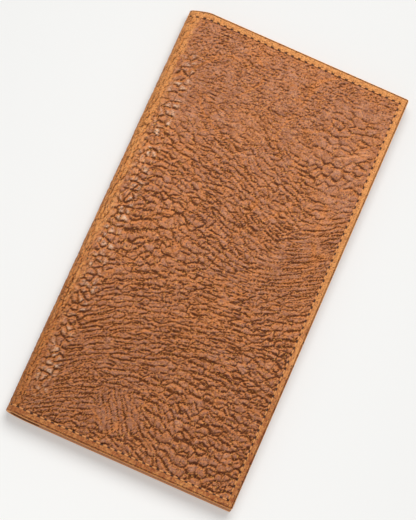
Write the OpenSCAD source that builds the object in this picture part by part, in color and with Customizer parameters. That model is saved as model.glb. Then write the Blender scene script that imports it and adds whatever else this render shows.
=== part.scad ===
// Folding leather checkbook cover, shown closed.
// X runs from the fold (-X) to the open edge (+X), Y along the fold, Z up.
// The origin is under the middle of the closed cover, on the surface it lies on.
// The hide, the lining and the seams are single pieces on the real cover. They are parted at the
// four crease lines of the fold, so that the fold can turn.

/* [Cover] */
// Width of the closed cover, from the fold to the open edge
cover_w = 88.6; // [80:0.2:110]
// Length along the fold
cover_l = 168; // [150:1:190]
// Radius of the two corners at the open edge
corner_r = 1.2; // [0.5:0.1:2]

/* [Leather] */
// Thickness of the outer hide
hide_t = 1.6; // [1.2:0.1:2.4]
// Thickness of the lining
lining_t = 0.4; // [0.3:0.1:0.8]
// Thickness of the pocket leather
pocket_t = 0.9; // [0.6:0.1:1.4]
// Gap left between two parts of the hide at a crease line
crease_gap = 0.12; // [0.08:0.02:0.2]

/* [Pockets] */
// Height of the room inside each pocket
pocket_room = 0.5; // [0.4:0.1:1.2]
// Width of the sewn margin round a pocket
margin_w = 5; // [4.4:0.1:7]
// Distance from the fold's tangent line to the mouth of the check pocket
check_mouth = 10.6; // [6:0.2:20]
// Distance from the fold's tangent line to the mouth of the register pocket
register_mouth = 10.6; // [6:0.2:20]
// Radius of the thumb notch in the register pocket
notch_r = 11; // [6:0.5:16]

/* [Seam] */
// Distance from the cut edge to the middle of the seam
seam_inset = 2.6; // [2:0.1:3.4]
// Stitch length aimed at, adjusted so that whole stitches fill each side
stitch_l = 2.75; // [2:0.05:5]
// Width of the thread
thread_w = 0.6; // [0.4:0.05:0.8]
// Thickness of the pressed thread
thread_t = 0.3; // [0.2:0.05:0.4]
// How far the thread lies below the face of the hide
thread_sink = 0.05; // [0.02:0.01:0.1]
// Gap between the thread and the leather around it
thread_gap = 0.05; // [0.02:0.01:0.1]
// Depth of the dip where the thread enters a needle hole
stitch_dip = 0.18; // [0.05:0.01:0.19]
// Length of the slope from the dip to the top of the stitch
stitch_slope = 0.5; // [0.3:0.05:0.8]

/* [Divider] */
// Thickness of the clear divider sheet
divider_t = 0.25; // [0.15:0.05:0.4]
// Gap above and below the divider when the cover is shut
divider_gap = 0.225; // [0.15:0.025:0.5]
// Distance from each end of the divider to the sewn margin of the pocket
divider_side_gap = 4; // [2:0.5:12]
// Distance from the free edge of the flap to the sewn margin of the pocket
flap_end_gap = 1; // [0.5:0.5:20]
// Distance from the end of the tail to the closed end of the check pocket
tail_end_gap = 16.4; // [6:0.2:40]
// Distance from the crease of the divider to the mouth of the check pocket
crease_inset = 1; // [0.8:0.1:2]
// Distance from the crease line at which the flap starts and the tail ends
crease_free = 0.23; // [0.2:0.01:0.4]
// Gap between the divider tail and the lining
tail_gap = 0.1; // [0.05:0.01:0.12]
// Corner radius of the divider
divider_r = 4; // [1:0.5:10]

/* [Hidden] */
$fn = 64;

HIDE_COLOR = [0.47, 0.25, 0.13];
LINING_COLOR = [0.62, 0.40, 0.22];
POCKET_COLOR = [0.52, 0.29, 0.15];
THREAD_COLOR = [0.66, 0.42, 0.20];
VINYL_COLOR = [0.85, 0.90, 0.92, 0.5];

// Heights of the layers of the back half
lining_z = hide_t;
base_z = hide_t + lining_t;
panel_z = base_z + pocket_room;
panel_top = panel_z + pocket_t;
margin_top = base_z + pocket_t;
divider_z = panel_top + divider_gap;
mid_z = divider_z + divider_t / 2;
eps = 0.01;

// The fold is half a ring that joins the two halves at their tangent lines.
fold_r = mid_z;
inner_r = fold_r - base_z;
hide_r = fold_r - hide_t;
open_x = cover_w / 2;
fold_x = fold_r - cover_w / 2;

// The half ring has four crease lines. Each half of the cover holds half a step of it.
step_a = 45;
half_a = step_a / 2;
gap_a = crease_gap / 2 / fold_r * 180 / PI;

// Seam lines and stitches
seam_x = open_x - seam_inset;
seam_y = cover_l / 2 - seam_inset;
side_n = round((seam_x - fold_x) / stitch_l);
side_step = (seam_x - fold_x) / side_n;
long_n = round(2 * seam_y / stitch_l);
long_step = 2 * seam_y / long_n;
side_xs = [for (k = [0:side_n]) seam_x - k * side_step];
long_ys = [for (k = [0:long_n]) -seam_y + k * long_step];
hole_w = thread_w + 2 * thread_gap;
groove_w = hole_w;
groove_d = thread_sink + thread_t + thread_gap;
lock_z = base_z / 2 + groove_d / 2;
thread_low = thread_sink + thread_t;

// A pocket mouth falls halfway between two stitches.
function mouth_stitch(d) = round((seam_x - fold_x - d) / side_step - 0.5);
function mouth_x(d) = seam_x - (mouth_stitch(d) + 0.5) * side_step;
check_x = mouth_x(check_mouth);
register_x = mouth_x(register_mouth);

// Room between the sewn margins of a pocket
inner_x = open_x - margin_w;
inner_y = cover_l / 2 - margin_w;

// Crease line of the divider, level with the underside of the flap
crease_x = check_x - crease_inset;
tail_top = divider_z - crease_free;
divider_l = 2 * (inner_y - divider_side_gap);

// Point of the fold at radius r, where angle a is 0 at the underside and 180 on top
function fold_point(r, a) = [fold_x - r * sin(a), fold_r - r * cos(a)];

// Outline of one half, from the tangent line of the fold to the open edge
module panel_outline(from_x) {
    difference() {
        translate([from_x, -cover_l / 2])
            square([open_x - from_x, cover_l]);
        for (side = [-1, 1])
            scale([1, side])
                translate([open_x - corner_r, cover_l / 2 - corner_r])
                    difference() {
                        square(corner_r + eps);
                        circle(corner_r);
                    }
    }
}

// Part of a ring in the XZ plane, between two radii and two angles of the fold
module fold_sector(r_in, r_out, a0, a1) {
    far = 2 * fold_r;
    translate([fold_x, fold_r])
        intersection() {
            difference() {
                circle(r_out);
                circle(r_in);
            }
            polygon([[0, 0], [-far * sin(a0), -far * cos(a0)], [-far * sin(a1), -far * cos(a1)]]);
        }
}

// Turns a shape of the XZ plane into a solid of length l along Y, centred on y
module along_y(l, y = 0) {
    translate([0, y, 0])
        rotate([90, 0, 0])
            linear_extrude(l, center = true)
                children();
}

// Puts a shape of the back half on the front half
module on_front() {
    translate([0, 0, 2 * mid_z])
        mirror([0, 0, 1])
            children();
}

// One square needle hole
module needle_hole(x, y, z0, z1) {
    translate([x - hole_w / 2, y - hole_w / 2, z0])
        cube([hole_w, hole_w, z1 - z0]);
}

// All needle holes of one half whose place is past from_x
module needle_holes(z0, z1, from_x) {
    for (x = side_xs)
        if (x > from_x)
            for (side = [-1, 1])
                needle_hole(x, side * seam_y, z0, z1);
    for (k = [1:long_n - 1])
        needle_hole(seam_x, long_ys[k], z0, z1);
}

// Channel pressed into the outer face along the seam of one half
module seam_groove() {
    for (side = [-1, 1]) {
        translate([fold_x, side * seam_y - groove_w / 2, -1])
            cube([seam_x + groove_w / 2 - fold_x, groove_w, 1 + groove_d]);
        along_y(groove_w, side * seam_y)
            fold_sector(fold_r - groove_d, fold_r + 1, 0, step_a);
    }
    translate([seam_x - groove_w / 2, -seam_y, -1])
        cube([groove_w, 2 * seam_y, 1 + groove_d]);
}

// Sheet of one half between two heights, with its share of the fold
module half_sheet(z0, z1, r_in, r_out) {
    translate([0, 0, z0])
        linear_extrude(z1 - z0)
            panel_outline(fold_x);
    along_y(cover_l)
        fold_sector(r_in, r_out, 0, half_a - gap_a);
}

module half_hide() {
    color(HIDE_COLOR)
        difference() {
            half_sheet(0, hide_t, hide_r, fold_r);
            needle_holes(-1, hide_t + 1, fold_x - 1);
            seam_groove();
        }
}

module half_lining() {
    color(LINING_COLOR)
        difference() {
            half_sheet(lining_z, base_z, inner_r, hide_r);
            needle_holes(0, base_z + 1, fold_x - 1);
        }
}

// Pocket: a sewn margin on three sides, stepped up to the panel over the room
module pocket(from_x) {
    color(POCKET_COLOR)
        difference() {
            union() {
                translate([0, 0, base_z])
                    linear_extrude(pocket_t)
                        difference() {
                            panel_outline(from_x);
                            translate([from_x - eps, -inner_y])
                                square([inner_x - from_x + eps, 2 * inner_y]);
                        }
                translate([from_x, -inner_y - pocket_t, panel_z])
                    cube([inner_x - from_x + pocket_t, 2 * (inner_y + pocket_t), pocket_t]);
            }
            needle_holes(base_z - 1, margin_top + 1, from_x);
        }
}

// Side view of the thread in the outer face of one half, from the open edge round to the crease line
module needle_side_profile() {
    top = thread_sink;
    arc_a = half_a - 2 * gap_a;
    polygon(concat(
        [[seam_x + thread_w / 2, top + stitch_dip]],
        [for (k = [0:side_n - 1]) each [
            [side_xs[k], top + stitch_dip],
            [side_xs[k] - stitch_slope, top],
            [side_xs[k + 1] + stitch_slope, top]
        ]],
        [[fold_x, top + stitch_dip]],
        [for (a = [arc_a / 3:arc_a / 3:arc_a + eps]) fold_point(fold_r - thread_sink, a)],
        [for (a = [arc_a:-arc_a / 3:arc_a / 4]) fold_point(fold_r - thread_low, a)],
        [for (k = [side_n:-1:0]) each [
            [side_xs[k] - thread_w / 2, thread_low],
            [side_xs[k] - thread_w / 2, lock_z],
            [side_xs[k] + thread_w / 2, lock_z],
            [side_xs[k] + thread_w / 2, thread_low]
        ]]
    ));
}

// The same for the thread along the open edge, in the YZ plane
module needle_long_profile() {
    top = thread_sink;
    polygon(concat(
        [[-seam_y - thread_w / 2, top + stitch_dip]],
        [for (k = [0:long_n - 1]) each [
            [long_ys[k], top + stitch_dip],
            [long_ys[k] + stitch_slope, top],
            [long_ys[k + 1] - stitch_slope, top]
        ]],
        [[seam_y, top + stitch_dip], [seam_y + thread_w / 2, top + stitch_dip]],
        [for (k = [long_n:-1:0]) each [
            [long_ys[k] + thread_w / 2, thread_low],
            [long_ys[k] + thread_w / 2, lock_z],
            [long_ys[k] - thread_w / 2, lock_z],
            [long_ys[k] - thread_w / 2, thread_low]
        ]]
    ));
}

// Thread of the outer face of one half, in one piece round its three sewn sides
module needle_thread() {
    color(THREAD_COLOR)
        union() {
            for (side = [-1, 1])
                along_y(thread_w, side * seam_y)
                    needle_side_profile();
            translate([seam_x - thread_w / 2, 0, 0])
                rotate([90, 0, 90])
                    linear_extrude(thread_w)
                        needle_long_profile();
        }
}

// Side view of the thread inside one half: on the pocket margin, then down on to the lining
module bobbin_side_profile(from_x) {
    wall_x = from_x - thread_gap;
    arc_a = half_a - 2 * gap_a;
    function level(k) = (side_xs[k] > from_x ? margin_top : base_z) + thread_gap;
    polygon(concat(
        [[seam_x + thread_w / 2, level(0) + thread_t - stitch_dip]],
        [for (k = [0:side_n - 1]) each concat(
            [
                [side_xs[k], level(k) + thread_t - stitch_dip],
                [side_xs[k] - stitch_slope, level(k) + thread_t]
            ],
            level(k) > level(k + 1)
                ? [[wall_x - thread_t, level(k) + thread_t], [wall_x - thread_t, level(k + 1) + thread_t]]
                : [],
            [[side_xs[k + 1] + stitch_slope, level(k + 1) + thread_t]]
        )],
        [[fold_x, level(side_n) + thread_t - stitch_dip]],
        [for (a = [arc_a / 2:arc_a / 2:arc_a + eps]) fold_point(inner_r - thread_gap - thread_t, a)],
        [for (a = [arc_a:-arc_a / 2:arc_a / 4]) fold_point(inner_r - thread_gap, a)],
        [for (k = [side_n:-1:0]) each concat(
            [
                [side_xs[k] - thread_w / 2, level(k)],
                [side_xs[k] - thread_w / 2, lock_z],
                [side_xs[k] + thread_w / 2, lock_z],
                [side_xs[k] + thread_w / 2, level(k)]
            ],
            k > 0 && level(k) < level(max(k - 1, 0))
                ? [[wall_x, level(k)], [wall_x, level(k - 1)]]
                : []
        )]
    ));
}

// The same along the open edge, where the pocket margin runs the whole way
module bobbin_long_profile() {
    low = margin_top + thread_gap;
    polygon(concat(
        [[-seam_y - thread_w / 2, low + thread_t - stitch_dip]],
        [for (k = [0:long_n - 1]) each [
            [long_ys[k], low + thread_t - stitch_dip],
            [long_ys[k] + stitch_slope, low + thread_t],
            [long_ys[k + 1] - stitch_slope, low + thread_t]
        ]],
        [[seam_y, low + thread_t - stitch_dip], [seam_y + thread_w / 2, low + thread_t - stitch_dip]],
        [for (k = [long_n:-1:0]) each [
            [long_ys[k] + thread_w / 2, low],
            [long_ys[k] + thread_w / 2, lock_z],
            [long_ys[k] - thread_w / 2, lock_z],
            [long_ys[k] - thread_w / 2, low]
        ]]
    ));
}

// Thread inside one half, which locks with the outer thread in the needle holes
module bobbin_thread(from_x) {
    color(THREAD_COLOR)
        union() {
            for (side = [-1, 1])
                along_y(thread_w, side * seam_y)
                    bobbin_side_profile(from_x);
            translate([seam_x - thread_w / 2, 0, 0])
                rotate([90, 0, 90])
                    linear_extrude(thread_w)
                        bobbin_long_profile();
        }
}

// Radial hole or thread in the middle of one spine strip, in the XZ plane
module spine_leg(w, r0, r1, mid_a) {
    translate([fold_x, fold_r])
        rotate(-90 - mid_a)
            translate([r0, -w / 2])
                square([r1 - r0, w]);
}

// Strip of the spine between two crease lines, numbered 1 to 3 from below
module spine_strip(i, r_in, r_out) {
    a = i * step_a;
    difference() {
        along_y(cover_l)
            fold_sector(r_in, r_out, a - half_a + gap_a, a + half_a - gap_a);
        for (side = [-1, 1]) {
            along_y(groove_w, side * seam_y)
                fold_sector(fold_r - groove_d, fold_r + 1, a - half_a, a + half_a);
            along_y(hole_w, side * seam_y)
                spine_leg(hole_w, r_in - 0.5, r_out + 0.5, a);
        }
    }
}

module spine_hide(i) {
    color(HIDE_COLOR)
        spine_strip(i, hide_r, fold_r);
}

module spine_lining(i) {
    color(LINING_COLOR)
        spine_strip(i, inner_r, hide_r);
}

// One stitch at each end of a spine strip: outer thread, leg and inner thread
module spine_stitches(i) {
    a = i * step_a;
    reach = half_a - 2 * gap_a;
    in_r = inner_r - thread_gap;
    color(THREAD_COLOR)
        for (side = [-1, 1])
            along_y(thread_w, side * seam_y)
                union() {
                    fold_sector(fold_r - thread_low, fold_r - thread_sink, a - reach, a + reach);
                    fold_sector(in_r - thread_t, in_r, a - reach, a + reach);
                    spine_leg(thread_w, in_r - thread_t / 2, fold_r - thread_sink - thread_t / 2, a);
                }
}

module back_cover() {
    half_hide();
}

module back_lining() {
    half_lining();
}

module check_pocket() {
    pocket(check_x);
}

module back_needle_thread() {
    needle_thread();
}

module back_bobbin_thread() {
    bobbin_thread(check_x);
}

module front_cover() {
    on_front()
        half_hide();
}

module front_lining() {
    on_front()
        half_lining();
}

module register_pocket() {
    on_front()
        difference() {
            pocket(register_x);
            translate([register_x, 0, base_z - 1])
                cylinder(r = notch_r, h = pocket_room + pocket_t + 2);
        }
}

module front_needle_thread() {
    on_front()
        needle_thread();
}

module front_bobbin_thread() {
    on_front()
        bobbin_thread(register_x);
}

// Sheet of the divider with two round corners away from its crease
module divider_sheet(x0, x1, z) {
    translate([0, 0, z])
        linear_extrude(divider_t)
            difference() {
                translate([x0, -divider_l / 2])
                    square([x1 - x0, divider_l]);
                for (side = [-1, 1])
                    scale([1, side])
                        translate([x1 - divider_r, divider_l / 2 - divider_r])
                            difference() {
                                square(divider_r + eps);
                                circle(divider_r);
                            }
            }
}

// Tail of the divider: it lies in the check pocket and turns up in front of the mouth
module divider_tail() {
    tail_z = base_z + tail_gap;
    color(VINYL_COLOR)
        union() {
            divider_sheet(crease_x - divider_t / 2, inner_x - tail_end_gap, tail_z);
            translate([crease_x - divider_t / 2, -divider_l / 2, tail_z])
                cube([divider_t, divider_l, tail_top - tail_z]);
        }
}

// Flap of the divider: it lies between the checks and the register
module divider_flap() {
    color(VINYL_COLOR)
        divider_sheet(crease_x + crease_free, inner_x - flap_end_gap, divider_z);
}

back_cover();
back_lining();
check_pocket();
back_needle_thread();
back_bobbin_thread();
divider_tail();
divider_flap();
spine_hide(1);  // lower_spine_hide
spine_lining(1);  // lower_spine_lining
spine_stitches(1);  // lower_spine_stitches
spine_hide(2);  // middle_spine_hide
spine_lining(2);  // middle_spine_lining
spine_stitches(2);  // middle_spine_stitches
spine_hide(3);  // upper_spine_hide
spine_lining(3);  // upper_spine_lining
spine_stitches(3);  // upper_spine_stitches
front_cover();
front_lining();
register_pocket();
front_needle_thread();
front_bobbin_thread();
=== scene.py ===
"""Looks of a folding leather checkbook cover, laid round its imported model.

The cover lies shut. X runs from the fold to the open edge, Y along the fold and Z up, in metres.
The hide and the lining are each one sheet on the real cover. Here a sheet is worked out over its
unrolled width u, from the open edge of the back half round the fold to that of the front half,
and parted into a panel for each half and four fold strips that bend.
"""

import logging
import math
from dataclasses import dataclass, field
from enum import Enum

import bpy
import numpy as np
from mathutils import Matrix, Vector


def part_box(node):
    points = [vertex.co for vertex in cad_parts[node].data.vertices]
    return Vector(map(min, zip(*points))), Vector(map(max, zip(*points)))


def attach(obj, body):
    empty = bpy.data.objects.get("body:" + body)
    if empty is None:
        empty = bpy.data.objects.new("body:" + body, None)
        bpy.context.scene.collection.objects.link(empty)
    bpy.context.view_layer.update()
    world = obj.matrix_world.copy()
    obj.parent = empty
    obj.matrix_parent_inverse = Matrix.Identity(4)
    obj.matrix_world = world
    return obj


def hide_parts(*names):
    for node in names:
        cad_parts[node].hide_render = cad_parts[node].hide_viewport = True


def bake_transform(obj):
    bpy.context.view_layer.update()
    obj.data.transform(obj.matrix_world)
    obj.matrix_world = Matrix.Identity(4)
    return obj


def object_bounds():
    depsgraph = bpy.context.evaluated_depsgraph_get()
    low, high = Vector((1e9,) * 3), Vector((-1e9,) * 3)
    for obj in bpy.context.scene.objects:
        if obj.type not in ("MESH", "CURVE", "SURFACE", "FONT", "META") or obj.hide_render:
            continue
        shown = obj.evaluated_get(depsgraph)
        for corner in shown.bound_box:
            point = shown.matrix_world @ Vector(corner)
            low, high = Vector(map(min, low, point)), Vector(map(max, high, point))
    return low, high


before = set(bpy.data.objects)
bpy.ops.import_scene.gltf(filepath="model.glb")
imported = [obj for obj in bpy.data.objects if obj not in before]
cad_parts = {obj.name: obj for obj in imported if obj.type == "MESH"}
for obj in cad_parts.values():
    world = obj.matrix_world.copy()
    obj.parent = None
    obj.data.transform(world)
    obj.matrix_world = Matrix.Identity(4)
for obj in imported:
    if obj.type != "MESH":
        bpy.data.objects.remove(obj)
CAD_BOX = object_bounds()

MM = 0.001
LOG = logging.getLogger("checkbook_cover")
Colour = tuple[float, float, float, float]


def srgb(red: int, green: int, blue: int) -> Colour:
    """Turns a colour given as 0 to 255 into the linear values that shaders take."""
    linear = [
        c / 12.92 if c <= 0.04045 else ((c + 0.055) / 1.055) ** 2.4
        for c in (red / 255, green / 255, blue / 255)
    ]
    return (*linear, 1.0)


def smoothstep(values: np.ndarray, low: float, high: float) -> np.ndarray:
    """Rises from 0 at low to 1 at high as 3t squared less 2t cubed."""
    t = np.clip((values - low) / (high - low), 0.0, 1.0)
    return t * t * (3.0 - 2.0 * t)


def value_noise(x: np.ndarray, y: np.ndarray, seed: int) -> np.ndarray:
    """Smooth noise from -1 to 1, with random values at whole numbers joined by smoothstep.

    Args:
        x, y: places, in units of the noise's own size.
        seed: number that picks the noise.

    Returns:
        One value for each place.
    """
    span = 97
    table = np.random.default_rng(seed).uniform(-1.0, 1.0, (span, span))
    xi, yi = np.floor(x).astype(int), np.floor(y).astype(int)
    tx, ty = smoothstep(x - xi, 0.0, 1.0), smoothstep(y - yi, 0.0, 1.0)

    def corner(i: int, j: int) -> np.ndarray:
        """Value at one corner of the square that holds each place."""
        return table[(xi + i) % span, (yi + j) % span]

    near = corner(0, 0) * (1 - tx) + corner(1, 0) * tx
    far = corner(0, 1) * (1 - tx) + corner(1, 1) * tx
    return near * (1 - ty) + far * ty


def fractal_noise(x: np.ndarray, y: np.ndarray, seed: int, octaves: int = 3) -> np.ndarray:
    """Sum of value noises, each half as large and half as strong as the one before."""
    total = np.zeros(np.broadcast(x, y).shape)
    for k in range(octaves):
        total += value_noise(x * 2**k, y * 2**k, seed + k) / 2**k
    return total / (2.0 - 0.5 ** (octaves - 1))


@dataclass(frozen=True)
class Cells:
    """Cells round scattered points, as three arrays over the same places.

    Attributes:
        wall: distance to the nearest wall between two cells.
        across: 1 where that wall runs along the first axis, 0 where it runs across it.
        side: 1 where that wall is on the lower right of the cell and -1 on the upper left.
        value: a random value from 0 to 1 for each cell.
    """

    wall: np.ndarray
    across: np.ndarray
    side: np.ndarray
    value: np.ndarray


def scattered_cells(p: np.ndarray, q: np.ndarray, seed: int, jitter: float = 0.42) -> Cells:
    """Cells round one point in each unit square, moved off its middle at random.

    The wall distance is the difference of the squared distances to the two nearest points,
    divided by twice the distance between those points.

    Args:
        p, q: places, in units of the mean cell size.
        seed: number that picks the pattern.
        jitter: how far a point may lie from the middle of its square.

    Returns:
        The cells at every place.
    """
    span = 131
    table = np.random.default_rng(seed).uniform(-1.0, 1.0, (span, span, 3))
    pi, qi = np.floor(p).astype(int), np.floor(q).astype(int)
    first = np.full(p.shape, 99.0)
    second = np.full(p.shape, 99.0)
    first_at = np.zeros((2, *p.shape))
    second_at = np.zeros((2, *p.shape))
    value = np.zeros(p.shape)
    for i in (-2, -1, 0, 1, 2):
        for j in (-2, -1, 0, 1, 2):
            drawn = table[(pi + i) % span, (qi + j) % span]
            at = np.stack([
                pi + i + 0.5 + jitter * drawn[..., 0] - p,
                qi + j + 0.5 + jitter * drawn[..., 1] - q,
            ])
            distance = np.hypot(at[0], at[1])
            nearest = distance < first
            middle = ~nearest & (distance < second)
            second_at = np.where(nearest, first_at, np.where(middle, at, second_at))
            second = np.where(nearest, first, np.where(middle, distance, second))
            first_at = np.where(nearest, at, first_at)
            first = np.where(nearest, distance, first)
            value = np.where(nearest, 0.5 + 0.5 * drawn[..., 2], value)
    apart = second_at - first_at
    length = np.maximum(np.hypot(apart[0], apart[1]), 1e-6)
    return Cells(
        wall=(second**2 - first**2) / (2 * length),
        across=np.abs(apart[1]) / length,
        side=(0.4 * apart[0] - 0.92 * apart[1]) / length,
        value=value,
    )


@dataclass(frozen=True)
class CoverPlan:
    """Sizes of the closed cover: those read from the frame, and those of its corners and seam.

    Attributes:
        open_x: place of the open edge.
        half_l: half the length along the fold.
        fold_r, fold_x: radius of the fold, and the place where the panels pass over to it.
        hide_t, base_t, margin_t, panel_t: depths of the inner face of the hide, of the lining,
            of a pocket's sewn margin and of its panel, below the outside of their half.
        check_x, register_x: places of the pockets' mouths.
        seam_x, seam_y: places of the seam on the open side and on the two ends.
        corner_r: radius of the corners at the open edge.
        stitch_l: stitch length aimed at.
        thread_w, bobbin_t: width of the thread, and how far the inner one stands proud.
        draw_far, draw_near: how far the fold's far and near ends are drawn in.
        draw_w: how far past the fold that reaches.
    """

    open_x: float
    half_l: float
    fold_r: float
    fold_x: float
    hide_t: float
    base_t: float
    margin_t: float
    panel_t: float
    check_x: float
    register_x: float
    seam_x: float
    seam_y: float
    corner_r: float = 0.7 * MM
    stitch_l: float = 2.75 * MM
    thread_w: float = 0.6 * MM
    bobbin_t: float = 0.35 * MM
    draw_far: float = 1.5 * MM
    draw_near: float = 0.3 * MM
    draw_w: float = 5.0 * MM

    @classmethod
    def from_frame(cls) -> "CoverPlan":
        """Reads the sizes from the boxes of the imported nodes."""
        low, high = CAD_BOX
        fold_r = high[2] / 2
        pocket_low, pocket_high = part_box("check_pocket")
        thread_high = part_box("back_needle_thread")[1]
        bobbin_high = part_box("back_bobbin_thread")[1]
        return cls(
            open_x=high[0],
            half_l=high[1],
            fold_r=fold_r,
            fold_x=low[0] + fold_r,
            hide_t=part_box("back_lining")[0].z,
            base_t=pocket_low.z,
            margin_t=bobbin_high.z - cls.bobbin_t,
            panel_t=pocket_high.z,
            check_x=pocket_low.x,
            register_x=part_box("register_pocket")[0].x,
            seam_x=thread_high.x - cls.thread_w / 2,
            seam_y=thread_high.y - cls.thread_w / 2,
        )

    @property
    def panel_w(self) -> float:
        """Width of one panel, from the open edge to the fold."""
        return self.open_x - self.fold_x

    @property
    def fold_w(self) -> float:
        """Outer length of the fold, half a turn of its radius."""
        return math.pi * self.fold_r

    @property
    def sheet_w(self) -> float:
        """Unrolled width of the hide."""
        return 2 * self.panel_w + self.fold_w

    def place(self, u: np.ndarray, v: np.ndarray, depth: np.ndarray) -> np.ndarray:
        """Rolls the sheet up: flat on the back, half a turn round the fold, flat on the front.

        A place u runs back along X under the cover, then round a circle by (u less the panel's
        width) over the fold's radius, then forward on top. Depth goes inwards from the outside.
        The two corners of each open edge are drawn in to arcs, where every square ring of the
        corner becomes a round one. The ends of the fold are drawn in along Y, by a smoothstep
        of how near the middle of the fold is.

        Args:
            u, v: place on the sheet.
            depth: distance below the outer face.

        Returns:
            Points, as an array whose last axis is X, Y, Z.
        """
        u, v, depth = np.broadcast_arrays(u, v, depth)
        edge = np.minimum(u, self.sheet_w - u)
        a = np.clip(1.0 - edge / self.corner_r, 0.0, None)
        b = np.clip((np.abs(v) - self.half_l) / self.corner_r + 1.0, 0.0, None)
        shrink = np.where((a > 0) & (b > 0), np.maximum(a, b) / np.maximum(np.hypot(a, b), 1e-9), 1.0)
        edge = np.where(a > 0, (1.0 - a * shrink) * self.corner_r, edge)
        side = np.where(b > 0, self.half_l + (b * shrink - 1.0) * self.corner_r, np.abs(v))
        u = np.where(u < self.sheet_w / 2, edge, self.sheet_w - edge)
        angle = np.clip((u - self.panel_w) / self.fold_r, 0.0, math.pi)
        back = np.clip(self.panel_w - u, 0.0, None)
        front = np.clip(u - self.panel_w - self.fold_w, 0.0, None)
        radius = self.fold_r - depth
        x = self.fold_x - radius * np.sin(angle) + back + front
        z = self.fold_r - radius * np.cos(angle)
        reach = smoothstep(-np.abs(u - self.sheet_w / 2), -self.fold_w / 2 - self.draw_w, -self.fold_w / 4)
        drawn = np.where(v > 0, self.draw_far, self.draw_near) * reach / self.half_l
        return np.stack([x, np.sign(v) * side * (1.0 - drawn), z], axis=-1)

    def outward(self, u: np.ndarray) -> np.ndarray:
        """Unit normal of the outer face at u, in the XZ plane."""
        angle = np.clip((u - self.panel_w) / self.fold_r, 0.0, math.pi)
        return np.stack([-np.sin(angle), np.zeros_like(angle), -np.cos(angle)], axis=-1)


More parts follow.
